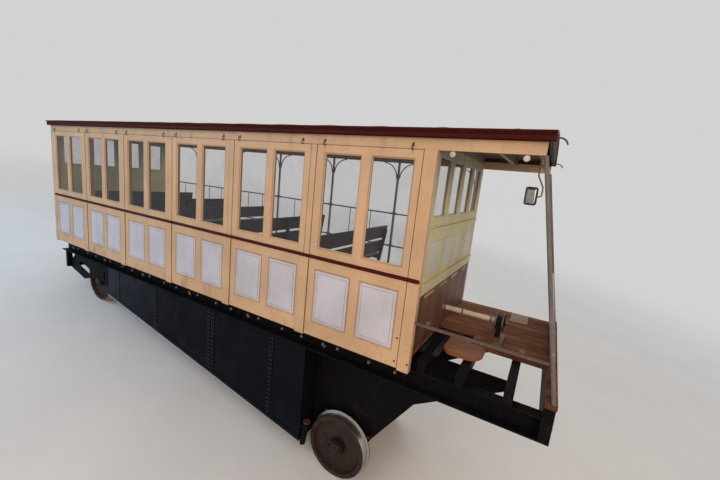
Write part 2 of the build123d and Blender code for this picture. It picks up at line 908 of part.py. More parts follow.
# Knees in the plates' lower edge, as body x and the drop below the sills' foot
tip_knees = ((tank_start - 330, 361), (560, 511))
with BuildPart() as tip_plates:
    for side in (-1, 1):
        with BuildSketch(side_plane(side * plate_outer if side > 0 else side * (plate_outer - tip_plate))):
            outline((-sill_tail, plate_head), (tank_face, plate_head),
                    (tank_face, rail_level(tank_face, tip_plate_clearance)),
                    *[(x, sill_foot - drop) for x, drop in tip_knees], (-sill_tail, tip_foot))
            with Locations((tip_slot_place, tip_hole_level)):
                SlotOverall(tip_slot_length, tip_slot_height, rotation=tip_slot_tilt, mode=Mode.SUBTRACT)
            with Locations((tank_start - tip_window_inset, tip_hole_level)):
                Rectangle(tip_window_width, tip_window_height, mode=Mode.SUBTRACT)
            with BuildLine():
                Polyline((tip_gap_place, gap_head), (tip_gap_place + tip_gap_width, gap_head),
                         (tip_gap_place + gap_lean, gap_head - tip_gap_height), close=True)
            make_face(mode=Mode.SUBTRACT)
        extrude(amount=tip_plate)
finish(tip_plates, "tip_plates")

with BuildPart() as uphill_struts:
    with BuildSketch(level_plane(tip_foot)):
        for low in (-sill_back - strut_depth, sill_back):
            board(-sill_tail, -sill_tail + strut_width, low, low + strut_depth)
    extrude(amount=sill_foot - seat_gap - tip_foot)
finish(uphill_struts, "uphill_struts")

beam_half = plate_outer - tip_plate - seat_gap
beam_end = -sill_tail + tip_beam
with BuildPart() as uphill_headstock:
    with BuildSketch(side_plane(beam_half)):
        board(-sill_tail, beam_end, tip_foot, tip_foot + tip_beam)
    extrude(amount=2 * beam_half)
finish(uphill_headstock, "uphill_headstock")

# Inner frame plates with a horn gap for each axle box
box_half = box_width / 2 + seat_gap
horn_head = wheel_radius + box_height / 2 + seat_gap
frame_head = bearer_foot - seat_gap
tank_end_face = tank_finish + seat_gap
uphill_frame = [(beam_end + seat_gap, frame_head), (tank_face, frame_head),
                (tank_face, rail_level(tank_face, rail_clearance_uphill)),
                from_rail(uphill_axle + box_half + horn_cheek, horn_foot),
                from_rail(uphill_axle - box_half - horn_cheek, horn_foot),
                (beam_end + seat_gap, tip_foot)]
downhill_frame = [(tank_end_face, frame_head), (platform_arm, frame_head),
                  (platform_arm, frame_head - platform_arm_depth),
                  (cabin_length, sill_foot - platform_arm_drop),
                  from_rail(downhill_axle + box_half + horn_cheek, horn_foot),
                  from_rail(downhill_axle - box_half - horn_cheek, horn_foot),
                  (tank_end_face, rail_level(tank_end_face, rail_clearance_uphill))]
with BuildPart() as frame_plates:
    for across in (-frame_plate_across + frame_plate / 2, frame_plate_across + frame_plate / 2):
        for shape in (uphill_frame, downhill_frame):
            with BuildSketch(side_plane(across)):
                outline(*shape)
            extrude(amount=frame_plate)
    with BuildSketch(rail_plane(frame_plate_across + frame_plate)):
        for axle in axle_places:
            board(axle - box_half, axle + box_half, 0, horn_head)
    extrude(amount=2 * (frame_plate_across + frame_plate), mode=Mode.SUBTRACT)
finish(frame_plates, "frame_plates")

stretcher_half = frame_plate_across - frame_plate / 2 - seat_gap
with BuildPart() as frame_stretchers:
    with BuildSketch(rail_plane(stretcher_half)):
        for axle in axle_places:
            board(axle - stretcher_width / 2, axle + stretcher_width / 2,
                  stretcher_level, stretcher_level + stretcher_depth)
    extrude(amount=2 * stretcher_half)
finish(frame_stretchers, "frame_stretchers")

# Water tank: a wedge under the floor with straps over its seams and an angle along its foot
tank_half = plate_outer - tank_strap
tank_foot_start = rail_level(tank_start, rail_clearance_uphill)
tank_foot_end = rail_level(tank_finish, rail_clearance_downhill)


def tank_foot(x):
    """Body z of the tank's sloping foot."""
    share = (x - tank_start) / (tank_finish - tank_start)
    return tank_foot_start + share * (tank_foot_end - tank_foot_start)


strap_head = sill_foot - strap_head_gap
tank_seams = [tank_start + seam for seam in seams_from_start]
tank_seams += [tank_finish - seam for seam in seams_from_finish]
with BuildPart() as water_tank:
    with BuildSketch(side_plane(tank_half)):
        outline((tank_start, frame_head), (tank_finish, frame_head), (tank_finish, tank_foot_end),
                (tank_start, tank_foot_start))
    extrude(amount=2 * tank_half)
    with BuildSketch(side_plane(tank_half + tank_strap)):
        for seam in tank_seams:
            left = seam - strap_width / 2
            right = seam + strap_width / 2
            outline((left, strap_head), (right, strap_head), (right, tank_foot(right)),
                    (left, tank_foot(left)))
        outline((tank_start, tank_foot_start), (tank_start, tank_foot_start + strap_width),
                (tank_finish, tank_foot_end + strap_width), (tank_finish, tank_foot_end))
    extrude(amount=2 * (tank_half + tank_strap))
finish(water_tank, "water_tank")

# Drain valve on the tank's downhill end, with its outlet pointing down
valve_across = -sill_back + valve_inset
valve_face = tank_finish + seat_gap
valve_s = valve_face * cos(lean) - rail_level(valve_face, valve_level) * sin(lean)
outlet_plane = Plane(origin=(row_shift + valve_s + valve_stub, valve_across, flange_depth + outlet_foot))
with BuildPart() as drain_valve:
    with BuildSketch(cross_plane(valve_face)):
        with Locations((valve_across, rail_level(valve_face, valve_level))):
            Circle(valve_flange_radius)
    extrude(amount=valve_flange)
    with BuildSketch(cross_plane(valve_face)):
        with Locations((valve_across, rail_level(valve_face, valve_level))):
            Circle(valve_stub_radius)
    extrude(amount=valve_stub)
    with BuildSketch(outlet_plane):
        Circle(valve_radius)
    extrude(amount=valve_level + valve_rise - outlet_foot)
    with BuildSketch(outlet_plane):
        Circle(outlet_bore)
    extrude(amount=outlet_bore_depth, mode=Mode.SUBTRACT)
finish(drain_valve, "drain_valve")

# Drawbar with a pin eye, on a plate against the uphill headstock
drawbar_level = body_height - sill_tail * sin(lean) + frame_tip_level * cos(lean)
bar_start = -(sill_tail + drawbar_plate / 2) * cos(lean) - frame_tip_level * sin(lean)
with BuildPart() as drawbar:
    with BuildSketch(cross_plane(-sill_tail - seat_gap)):
        board(-drawbar_plate_half, drawbar_plate_half, tip_foot + drawbar_plate_edge,
              tip_foot + tip_beam - drawbar_plate_edge)
    extrude(amount=-drawbar_plate)
    with BuildSketch(rail_plane(drawbar_width / 2)):
        board(-drawbar_reach, bar_start, drawbar_level - drawbar_width / 2,
              drawbar_level + drawbar_width / 2)
        with Locations((-drawbar_reach, drawbar_level)):
            Circle(drawbar_boss_radius)
            Circle(drawbar_eye_radius, mode=Mode.SUBTRACT)
    extrude(amount=drawbar_width)
finish(drawbar, "drawbar")

# Wheelsets: axle, two flanged wheels, rack brake pinion and brake drum turned as one profile
flange_radius = wheel_radius + flange_depth
disc_start = tread_start + disc_inset
disc_end = disc_start + disc_thickness
hub_inner = box_end + hub_box_gap
rim_radius = wheel_radius - rim_thickness
pinion_root = pinion_tip_radius - tooth_height
pinion_inner = pinion_root - pinion_rim
half_pinion = pinion_width / 2
drum_start = drum_across - drum_width / 2
drum_finish = drum_across + drum_width / 2
web_half = pinion_web / 2
shoulder = box_start - hub_box_gap

# Each profile is a list of (distance across, radius), from the middle of the axle outwards
wheel_profile = [(hub_inner, hub_radius), (disc_start, hub_radius), (disc_start, rim_radius),
                 (flange_back, rim_radius), (flange_back, flange_radius - flange_chamfer),
                 (flange_back + flange_chamfer, flange_radius), (tread_start - flange_slope, flange_radius),
                 (tread_start, wheel_radius), (tread_end, wheel_radius - tread_fall),
                 (tread_end, rim_radius), (disc_end, rim_radius), (disc_end, hub_radius),
                 (hub_end, hub_radius)]
journal_profile = [(shoulder, axle_radius), (shoulder, journal_radius), (hub_inner, journal_radius)]
right_half = [(drum_start, axle_radius), (drum_start, drum_radius), (drum_finish, drum_radius),
              (drum_finish, axle_radius)] + journal_profile + wheel_profile
left_half = [(-across, radius) for across, radius in journal_profile + wheel_profile]
pinion_profile = [(-half_pinion, axle_radius), (-half_pinion, hub_radius), (-web_half, hub_radius),
                  (-web_half, pinion_inner), (-half_pinion, pinion_inner), (-half_pinion, pinion_root),
                  (half_pinion, pinion_root), (half_pinion, pinion_inner), (web_half, pinion_inner),
                  (web_half, hub_radius), (half_pinion, hub_radius), (half_pinion, axle_radius)]
wheelset_outline = [(-hub_end, 0)] + left_half[::-1] + pinion_profile + right_half + [(hub_end, 0)]

wheelset_names = ("wheelset_uphill", "wheelset_downhill")
for name, axle in zip(wheelset_names, axle_places):
    centre = Vector(row_shift + axle, 0, flange_depth + wheel_radius)
    with BuildPart() as wheelset:
        with BuildSketch(Plane(origin=centre, x_dir=(0, 1, 0), z_dir=(1, 0, 0))):
            outline(*wheelset_outline)
        revolve(axis=Axis(centre, (0, 1, 0)))
        face = centre + Vector(0, half_pinion, 0)
        with BuildSketch(Plane(origin=face, x_dir=(1, 0, 0), z_dir=(0, -1, 0))):
            with PolarLocations(pinion_root - tooth_root, pinion_teeth):
                Trapezoid(tooth_foot, tooth_height + tooth_root, tooth_slope, rotation=-90,
                          align=(Align.CENTER, Align.MIN))
        extrude(amount=pinion_width)
    finish(wheelset, name)

# Axle boxes between the horns
with BuildPart() as axle_boxes:
    for low in (box_start, -box_end):
        with BuildSketch(rail_plane(low + box_length)):
            for axle in axle_places:
                with Locations((axle, wheel_radius)):
                    Rectangle(box_width, box_height)
                    Circle(journal_radius + journal_play, mode=Mode.SUBTRACT)
        extrude(amount=box_length)
finish(axle_boxes, "axle_boxes")

# Leaf springs on the axle boxes: concentric leaves, shortest at the foot
spring_base = wheel_radius + box_height / 2 + seat_gap
spring_radius = (spring_half_length ** 2 + spring_camber ** 2) / (2 * spring_camber)
spring_across = frame_plate_across + frame_plate / 2 + seat_gap
spring_centre = spring_base + spring_radius
stack = spring_leaves * spring_leaf
with BuildPart() as leaf_springs:
    for low in (spring_across, -spring_across - spring_width):
        with BuildSketch(rail_plane(low + spring_width)):
            for axle in axle_places:
                for index in range(spring_leaves):
                    outer = spring_radius - index * spring_leaf
                    inner = outer - spring_leaf
                    reach = spring_half_length * (index + 1.5) / (spring_leaves + 0.5)
                    swing = asin(reach / spring_radius)
                    with BuildLine():
                        low_tip = (outer * sin(swing), spring_centre - outer * cos(swing))
                        high_tip = (inner * sin(swing), spring_centre - inner * cos(swing))
                        below = ThreePointArc((axle - low_tip[0], low_tip[1]), (axle, spring_centre - outer),
                                              (axle + low_tip[0], low_tip[1]))
                        end = Line(below @ 1, (axle + high_tip[0], high_tip[1]))
                        above = ThreePointArc(end @ 1, (axle, spring_centre - inner),
                                              (axle - high_tip[0], high_tip[1]))
                        Line(above @ 1, below @ 0)
                    make_face()
                board(axle - spring_buckle / 2, axle + spring_buckle / 2, spring_base,
                      spring_base + stack + buckle_rise)
        extrude(amount=spring_width)
finish(leaf_springs, "leaf_springs")

# Hangers bear on the ends of the top leaf
top_inner = spring_radius - stack
top_reach = spring_half_length - hanger_width / 2
hanger_foot = spring_centre - top_inner * cos(asin(spring_half_length / spring_radius)) + hanger_play
with BuildPart() as spring_hangers:
    for low in (spring_across, -spring_across - spring_width):
        with BuildSketch(rail_plane(low + spring_width)):
            for axle in axle_places:
                for side in (-1, 1):
                    middle = axle + side * top_reach * top_inner / spring_radius
                    board(middle - hanger_width / 2, middle + hanger_width / 2, hanger_foot,
                          hanger_foot + hanger_height)
        extrude(amount=spring_width)
finish(spring_hangers, "spring_hangers")

# Band brakes round the drums, hung from the stretchers
band_inner = drum_radius + band_play
with BuildPart() as band_brakes:
    with BuildSketch(rail_plane(drum_finish - band_inset)):
        for axle in axle_places:
            with Locations((axle, wheel_radius)):
                Circle(band_inner + band)
            board(axle - band_lug / 2, axle + band_lug / 2, wheel_radius, stretcher_level - seat_gap)
            with Locations((axle, wheel_radius)):
                Circle(band_inner, mode=Mode.SUBTRACT)
    extrude(amount=drum_width - 2 * band_inset)
finish(band_brakes, "band_brakes")
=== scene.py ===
import json
from math import cos, pi, radians, sin

import bmesh
import bpy
import numpy as np
from mathutils import Matrix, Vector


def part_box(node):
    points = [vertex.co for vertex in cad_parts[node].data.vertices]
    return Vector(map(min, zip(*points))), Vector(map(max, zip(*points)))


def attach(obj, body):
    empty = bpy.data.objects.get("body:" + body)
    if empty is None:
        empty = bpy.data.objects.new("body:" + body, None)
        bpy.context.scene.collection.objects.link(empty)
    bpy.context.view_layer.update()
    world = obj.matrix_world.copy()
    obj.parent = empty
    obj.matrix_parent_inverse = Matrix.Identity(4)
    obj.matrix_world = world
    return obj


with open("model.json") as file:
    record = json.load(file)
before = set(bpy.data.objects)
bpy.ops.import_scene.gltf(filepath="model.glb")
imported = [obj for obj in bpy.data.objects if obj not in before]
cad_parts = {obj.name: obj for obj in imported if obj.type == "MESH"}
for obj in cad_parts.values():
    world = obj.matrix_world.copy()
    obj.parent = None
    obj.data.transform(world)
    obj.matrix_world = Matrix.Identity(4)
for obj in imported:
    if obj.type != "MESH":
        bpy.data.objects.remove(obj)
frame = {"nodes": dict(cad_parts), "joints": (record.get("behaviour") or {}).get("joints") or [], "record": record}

bl_info = {
    "name": "Funicular car",
    "version": (1, 0, 0),
    "blender": (4, 5, 0),
    "location": "View3D > Sidebar > Funicular",
    "description": "Dresses a packed funicular car with its mouldings, ironwork, paint and a studio",
    "category": "Object",
}

# The frame, in metres. The body's axes run along the car, across it and up, from the uphill end of the
# belt moulding's middle line
LEAN = radians(8.0)
BELT_RADIUS = 0.020
belt_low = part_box("belt_moulding")[0]
CORNER = np.array([belt_low.x + BELT_RADIUS * sin(LEAN), 0.0, belt_low.z + BELT_RADIUS * cos(LEAN)])
BODY_AXES = np.array([[cos(LEAN), 0.0, sin(LEAN)], [0.0, 1.0, 0.0], [-sin(LEAN), 0.0, cos(LEAN)]])
CAR = "car"
WHEELSETS = {joint["child"]: np.array(joint["pos_m"]) for joint in frame["joints"]}


def body_box(node):
    """Lowest and highest corners of a CAD node along, across and above the belt: its vertices less
    the body's corner, turned into the body's axes."""
    mesh = frame["nodes"][node].data
    points = np.empty(len(mesh.vertices) * 3)
    mesh.vertices.foreach_get("co", points)
    turned = (points.reshape(-1, 3) - CORNER) @ BODY_AXES.T
    return turned.min(0), turned.max(0)


# Corners shared with the CAD model, read from its nodes
fascia_low, fascia_high = body_box("roof_side_boards")
roof_low, roof_high = body_box("roof")
tank_low, tank_high = body_box("water_tank")
bulkhead_low, bulkhead_high = body_box("end_walls")
platform_low, platform_high = body_box("platform_floor")
mirror_low, mirror_high = body_box("mirror")
drum_low, drum_high = body_box("brake_drum")
shaft_low, shaft_high = body_box("brake_shaft")
post_low, post_high = body_box("corner_posts")
FRIEZE_FOOT = body_box("friezes")[0][2]
SILL_FOOT = body_box("side_sills")[0][2]

# The near wall: its face, its bays, and the windows and panels in each
PROUD = 0.006
NEAR_FACE = body_box("near_lower_wall")[0][1] + PROUD
BAY_PITCH = 1.25
BAY_COUNT = 6
BAYS = BAY_PITCH * np.arange(BAY_COUNT)
CABIN_END = BAY_PITCH * BAY_COUNT
WINDOW_FRAMES = [(left, right, 0.107, 1.112) for left, right in ((0.101, 0.534), (0.649, 1.084))]
PANEL_FRAMES = [(left, right, -0.740, -0.135) for left, right in ((0.093, 0.538), (0.657, 1.084))]
GLASS_DEPTH = 0.0175
PANEL_DEPTH = 0.006
FIELD_SLOPE = 0.038
POST_SEAM = 7.4125
HOOK_SPOTS = (0.09, 1.055)
HOOK_LEVEL = 1.238

# The roof's side boards: their face, and the height above their foot, half width and weight of each
# painted shadow line at their foot and under their mouldings
FASCIA_FACE = 1.130
FASCIA_PAINTED_SHADOWS = ((0.001, 0.009, 0.95), (0.044, 0.007, 0.90), (0.064, 0.004, 0.60))

# Floor, platform and benches
FLOOR = -0.730
PLANK_PITCH = 0.142
SEAT_GROOVES = (0.79, 0.87, 0.95, 1.03)
BENCH_FOOT, BENCH_TOP, BENCH_HEAD = 1.110, -0.280, 0.190
BENCH_RECLINE = radians(8.0)
BENCH_STANDS = (-0.8575, 0.028, 0.9135)

# The end walls: lights across, their margins, the heights of windows, panels and cream framing
END_LIGHTS = 4
END_MARGIN, END_GAP = 0.080, 0.100
END_WINDOW = (0.600, 1.165)
END_PANEL = (0.005, 0.359)
END_CREAM_FOOT = -0.158

# Clearance of an added piece from the face that carries it, and how far the flanges reach below the rails
SEAT = 0.0003
FLANGE_DEPTH = 0.028


def size_property(label, words, value, low, high):
    """A length in metres with a name, a description and its range."""
    return bpy.props.FloatProperty(name=label, description=words, default=value, min=low, max=high,
                                   subtype="DISTANCE", unit="LENGTH")


def colour_property(label, words, value):
    """A linear colour with a name and a description."""
    return bpy.props.FloatVectorProperty(name=label, description=words, default=value, size=3,
                                         min=0.0, max=1.0, subtype="COLOR")


class CarSizes(bpy.types.PropertyGroup):
    """Sizes of the trim that a user may change."""
    glazing_bead: size_property("Glazing bead", "Width of the bead round each pane", 0.010, 0.004, 0.02)
    panel_bead: size_property("Panel bead", "Width of the bead round each wall panel", 0.009, 0.004, 0.02)
    hook_drop: size_property("Hook drop", "How far a curtain hook hangs below its plate", 0.045, 0.02, 0.08)
    bolt_radius: size_property("Bolt radius", "Half a sill bolt's head over corners", 0.013, 0.006, 0.03)
    rivet_radius: size_property("Rivet radius", "Radius of a tank rivet's head", 0.010, 0.004, 0.02)
    rivet_pitch: size_property("Rivet pitch", "Distance between rivets along a seam", 0.062, 0.03, 0.2)
    roof_seam: size_property("Roof seam", "Radius of the rolled seams across the roof", 0.009, 0.004, 0.012)


class CarColours(bpy.types.PropertyGroup):
    """Paint and timber colours that a user may change."""
    cream: colour_property("Cream", "Framing of the walls", (0.522, 0.332, 0.180))
    lilac: colour_property("Panels", "Raised panels of the walls", (0.485, 0.470, 0.505))
    maroon: colour_property("Maroon", "Belt moulding and roof boards", (0.050, 0.0056, 0.0042))
    bulkhead: colour_property("Bulkhead", "Framing of the end walls", (0.50, 0.46, 0.235))
    varnish: colour_property("Varnished boards", "Boards of the end walls", (0.118, 0.050, 0.021))
    iron: colour_property("Black iron", "Sills, frames and springs", (0.0045, 0.0043, 0.0050))
    tank: colour_property("Tank", "Painted tank plates", (0.0036, 0.0048, 0.0082))
    plank: colour_property("Planks", "Floor planks", (0.27, 0.100, 0.040))
    roofing: colour_property("Roofing", "Sheet of the roof", (0.20, 0.17, 0.14))


def calculation(operation, swapped=False):
    """A method that puts its value and what it is given into a Math node."""
    def method(value, *others):
        terms = (*others, value) if swapped else (value, *others)
        return value.finish.math(operation, *terms)
    return method


class Value:
    """A number socket of a finish. Arithmetic on it adds Math nodes."""
    __add__ = __radd__ = calculation("ADD")
    __sub__ = calculation("SUBTRACT")
    __rsub__ = calculation("SUBTRACT", swapped=True)
    __mul__ = __rmul__ = calculation("MULTIPLY")
    __truediv__ = calculation("DIVIDE")
    __pow__ = calculation("POWER")
    __mod__ = calculation("FLOORED_MODULO")
    __abs__ = calculation("ABSOLUTE")
    floor = calculation("FLOOR")
    least = calculation("MINIMUM")
    most = calculation("MAXIMUM")

    def __init__(self, finish, socket):
        self.finish = finish
        self.socket = socket

    def rise(self, low, high):
        """0 up to low, 1 from high, with a smooth slope between; low may be the larger."""
        return self.finish.node("ShaderNodeMapRange", {"interpolation_type": "SMOOTHSTEP"},
                                {0: self, 1: low, 2: high, 3: 0.0, 4: 1.0})

    def band(self, middle, half):
        """1 at middle, falling to 0 at half to each side."""
        return abs(self - middle).rise(half, 0.0)

    def shuffled(self):
        """From 0 to 1, and another number for each whole step: the step times the golden ratio, less
        its whole part."""
        golden = 0.618
        return (self.floor() * golden) % 1.0


def shade(colour, factor):
    """A colour made lighter or darker by a factor."""
    return tuple(min(1.0, channel * factor) for channel in colour[:3])


class Finish:
    """A procedural material: a tone that starts as its colour and is coated by expressions on sockets."""

    def __init__(self, name, colour):
        self.colour = colour
        self.tone = colour
        self.material = bpy.data.materials.new(name)
        self.material.use_nodes = True
        self.tree = self.material.node_tree
        self.shader = self.tree.nodes["Principled BSDF"]
        self.cache = {}

    def node(self, kind, settings=None, sockets=None, out=0):
        """Any node: its type, its settings, which are set first, and the values or links of its
        sockets."""
        made = self.tree.nodes.new(kind)
        for key, value in (settings or {}).items():
            setattr(made, key, value)
        self.feed(made, sockets or {})
        return Value(self, made.outputs[out])

    def feed(self, made, sockets):
        """Sets or links the sockets of a node."""
        for key, value in sockets.items():
            socket = made.inputs[key]
            if isinstance(value, Value):
                self.tree.links.new(value.socket, socket)
            elif socket.type == "RGBA":
                socket.default_value = (*value[:3], 1.0)
            else:
                socket.default_value = value

    def math(self, operation, *values):
        return self.node("ShaderNodeMath", {"operation": operation}, dict(enumerate(values)))

    def surface(self, **sockets):
        """The tone, and values or links of the shader's other sockets, with spaces written as
        underscores."""
        sockets["Base_Color"] = self.tone
        self.feed(self.shader, {key.replace("_", " "): value for key, value in sockets.items()})

    def split(self, vector):
        """The three numbers of a vector."""
        sockets = self.node("ShaderNodeSeparateXYZ", None, {0: vector}).socket.node.outputs
        return [Value(self, socket) for socket in sockets]

    def place(self):
        """Object coordinates turned into the body's axes."""
        if "place" not in self.cache:
            spot = self.node("ShaderNodeTexCoord", out="Object")
            shift = -BODY_AXES @ CORNER
            self.cache["place"] = self.node("ShaderNodeMapping", {"vector_type": "POINT"}, {
                "Vector": spot, "Location": tuple(shift), "Rotation": (0.0, LEAN, 0.0)})
        return self.cache["place"]

    def axes(self):
        """The three body coordinates as numbers."""
        if "axes" not in self.cache:
            self.cache["axes"] = self.split(self.place())
        return self.cache["axes"]

    def noise(self, scale, detail=3.0, rough=0.55, stretch=(1.0, 1.0, 1.0), bend=0.0):
        """Noise from 0 to 1 on body coordinates, drawn out along an axis by a small stretch factor."""
        place = self.place()
        if stretch != (1.0, 1.0, 1.0):
            place = self.node("ShaderNodeMapping", None, {"Vector": place, "Scale": stretch})
        return self.node("ShaderNodeTexNoise", None, {
            "Vector": place, "Scale": scale, "Detail": detail, "Roughness": rough, "Distortion": bend})

    def cells(self, scale):
        """Distance to the nearest of many scattered points."""
        return self.node("ShaderNodeTexVoronoi", None, {"Vector": self.place(), "Scale": scale})

    def blend(self, factor, first, second):
        """Two colours mixed by a factor."""
        return self.node("ShaderNodeMix", {"data_type": "RGBA"}, {0: factor, 6: first, 7: second}, out=2)

    def vary(self, factor, first, second):
        """The tone as a mix of two shades of the finish's colour."""
        self.tone = self.blend(factor, shade(self.colour, first), shade(self.colour, second))

    def coat(self, factor, over):
        """A colour, or a shade of the finish's own, laid over the tone by a factor."""
        over = shade(self.colour, over) if isinstance(over, float) else over
        self.tone = self.blend(factor, self.tone, over)

    def rim_dirt_and_shade(self, frames, inset, half):
        """1 on a thin line that lies inset within each (left, right, foot, head) frame of a bay: the
        larger of the distances beyond the frame's sides and beyond its foot and head, plus the inset."""
        along, _, up = self.axes()
        spot = along % BAY_PITCH
        mask = 0.0
        for left, right, foot, head in frames:
            aside = abs(spot - (left + right) / 2) - (right - left) / 2
            above = abs(up - (foot + head) / 2) - (head - foot) / 2
            mask = mask + abs(aside.most(above) + inset).rise(half, 0.0)
        return mask

    def seams(self, places, half, end):
        """1 on thin upright lines at the places along each bay, up to an end."""
        along = self.axes()[0]
        lines = sum((along % BAY_PITCH).band(place, half) for place in places)
        return lines * along.rise(end, end - 0.001)

    def eased(self, radius):
        """Normal with its sharp edges rounded over to a radius."""
        return self.node("ShaderNodeBevel", {"samples": 4}, {"Radius": radius})

    def edges(self, radius):
        """A mask of the edges within a radius: how far the rounded normal turns from the true one."""
        true = self.node("ShaderNodeNewGeometry", out="Normal")
        turn = self.node("ShaderNodeVectorMath", {"operation": "DOT_PRODUCT"},
                         {0: self.eased(radius), 1: true}, out="Value")
        return (1.0 - turn).rise(0.01, 0.16)

    def bump(self, height, depth, strength=1.0, easing=None):
        """Normal pushed about by a height in 0 to 1 that is worth depth metres."""
        sockets = {"Height": height, "Distance": depth, "Strength": strength}
        if easing:
            sockets["Normal"] = self.eased(easing)
        return self.node("ShaderNodeBump", None, sockets)


# Dirt and wear that lie on the walls' paint, with the painted shade under the eaves, under the roof and round the
# frames, as linear colours
GRIME_AND_EAVES_SHADE = (0.16, 0.10, 0.055)
PAINTED_ROOF_SHADE = (0.11, 0.070, 0.038)
RUST_RUN = (0.13, 0.045, 0.018)
RIM_DIRT_AND_SHADE = (0.085, 0.042, 0.022)
JOINT_DIRT = (0.075, 0.036, 0.018)
CHIPPED_WOOD = (0.12, 0.075, 0.045)
CHIPPED_ENAMEL = (0.16, 0.075, 0.045)

# Boards are counted from a line this far beside the car's middle
BOARD_DATUM = 3.0

# Grain and brush lines run up a face, or along the car
UPRIGHT = (1.0, 1.0, 0.05)
LENGTHWISE = (0.05, 1.0, 1.0)


def hook_stains(paint, stain):
    """Rust that has run down from each curtain hook."""
    along, _, up = paint.axes()
    spot = along % BAY_PITCH
    under = sum(spot.band(place, 0.016) for place in HOOK_SPOTS)
    run = under * up.band(HOOK_LEVEL - 0.043, 0.055) * stain.rise(0.30, 0.62)
    paint.coat(run * 0.75, RUST_RUN)


def wall_joints(paint, stain):
    """Dirty joints of the wall's framing: between the bays, at the pillars' edges, at the near post
    and under the frieze beside it."""
    along, _, up = paint.axes()
    below_belt = up.rise(0.02, -0.02)
    below_frieze = up.rise(FRIEZE_FOOT, FRIEZE_FOOT - 0.01)
    short_of_post = along.rise(POST_SEAM, POST_SEAM - 0.01)
    bay_end, bay_start, stile_edge, pillar_edge = 1.247, 0.003, 1.113, 1.170
    last = BAYS[-1] + 0.5
    lines = paint.seams((bay_end,), 0.008, last) * (below_belt * 0.75 + 0.25)
    lines = lines + paint.seams((bay_start,), 0.005, last) * below_belt * 0.5
    lines = lines + paint.seams((stile_edge,), 0.006, last) * below_belt * 0.7
    lines = lines + paint.seams((pillar_edge,), 0.009, last) * (1.0 - below_belt) * below_frieze * 1.6
    lines = lines + along.band(POST_SEAM, 0.006) * below_frieze
    lines = lines + up.band(FRIEZE_FOOT - 0.002, 0.006) * short_of_post * 0.8
    paint.coat((lines * (0.45 + stain * 0.8)).least(0.9), JOINT_DIRT)


def painted_wood(paint, grime_and_shade=1.0, gloss=0.42, streak=(1.0, 1.0, 0.08), framing=False, rim_dirt_and_shade=(),
                 painted_roof_shade=None):
    """Brushed household paint over timber: uneven tone, brush lines, dirt that gathers low down and,
    mixed with painted shade, towards the eaves, painted shade under the roof that thickens between two
    heights, dirt and painted shade in the corners round the frames, and chips along the edges that show
    darker wood. The wall's framing has its joints and hook stains too."""
    up = paint.axes()[2]
    cloud = paint.noise(1.7, 4.0)
    brush = paint.noise(95.0, 2.0, 0.5, streak)
    stain = paint.noise(7.0, 5.0, 0.65, (1.0, 1.0, 0.45))
    paint.vary(cloud.rise(0.32, 0.72), 0.88, 1.08)
    paint.coat(brush.rise(0.35, 0.75) * 0.16, 0.72)
    # Dirt low down, and towards the eaves dirt mixed with painted shade under the roof boards
    low = up.rise(-0.45, -0.95) * 0.55 + up.rise(1.10, 1.22) * 0.25
    paint.coat(stain.rise(0.50, 0.78) * (low + 0.16) * grime_and_shade, GRIME_AND_EAVES_SHADE)
    # Painted shade under the roof, darker from the foot height up to the head height and patchy with the stains
    if painted_roof_shade:
        foot, head, weight = painted_roof_shade
        paint.coat(up.rise(foot, head) * (0.55 + stain * 0.9) * weight, PAINTED_ROOF_SHADE)
    if framing:
        hook_stains(paint, stain)
    # Dark lines round panels, their fields and windows: dirt and painted shade in the creases of the frames
    for frames, inset, half, weight in rim_dirt_and_shade:
        rim = paint.rim_dirt_and_shade(frames, inset, half)
        paint.coat(rim * (0.35 + stain) * weight, RIM_DIRT_AND_SHADE)
    if framing:
        wall_joints(paint, stain)
    wear = paint.edges(0.004) * paint.noise(38.0, 4.0, 0.7).rise(0.52, 0.66)
    paint.coat(wear * 0.7, CHIPPED_WOOD)
    paint.surface(Roughness=gloss + stain * 0.18 + wear * 0.2,
                  Normal=paint.bump(brush * 0.6 + cloud * 0.4, 0.0006, 0.6, 0.003))


def gloss_paint(paint):
    """Dark gloss enamel with dust on it, dull scuffs along its edges and painted shadow lines at the foot
    of the roof boards and under their mouldings."""
    up = paint.axes()[2]
    dust = paint.noise(9.0, 5.0, 0.6, (0.5, 1.0, 1.0))
    run = paint.noise(60.0, 2.0, 0.5, (0.06, 1.0, 1.0))
    paint.coat(dust.rise(0.40, 0.80) * 0.20, 2.0)
    # Painted shadow lines at the boards' foot and under their bead and cornice
    for height, half, weight in FASCIA_PAINTED_SHADOWS:
        paint.coat(up.band(fascia_low[2] + height, half) * weight, 0.12)
    wear = paint.edges(0.003) * paint.noise(55.0, 3.0, 0.7).rise(0.50, 0.68)
    paint.coat(wear * 0.45, CHIPPED_ENAMEL)
    paint.surface(Roughness=0.46 + dust * 0.22 + wear * 0.25,
                  Normal=paint.bump(run, 0.0004, 0.5, 0.003), Specular_IOR_Level=0.07)


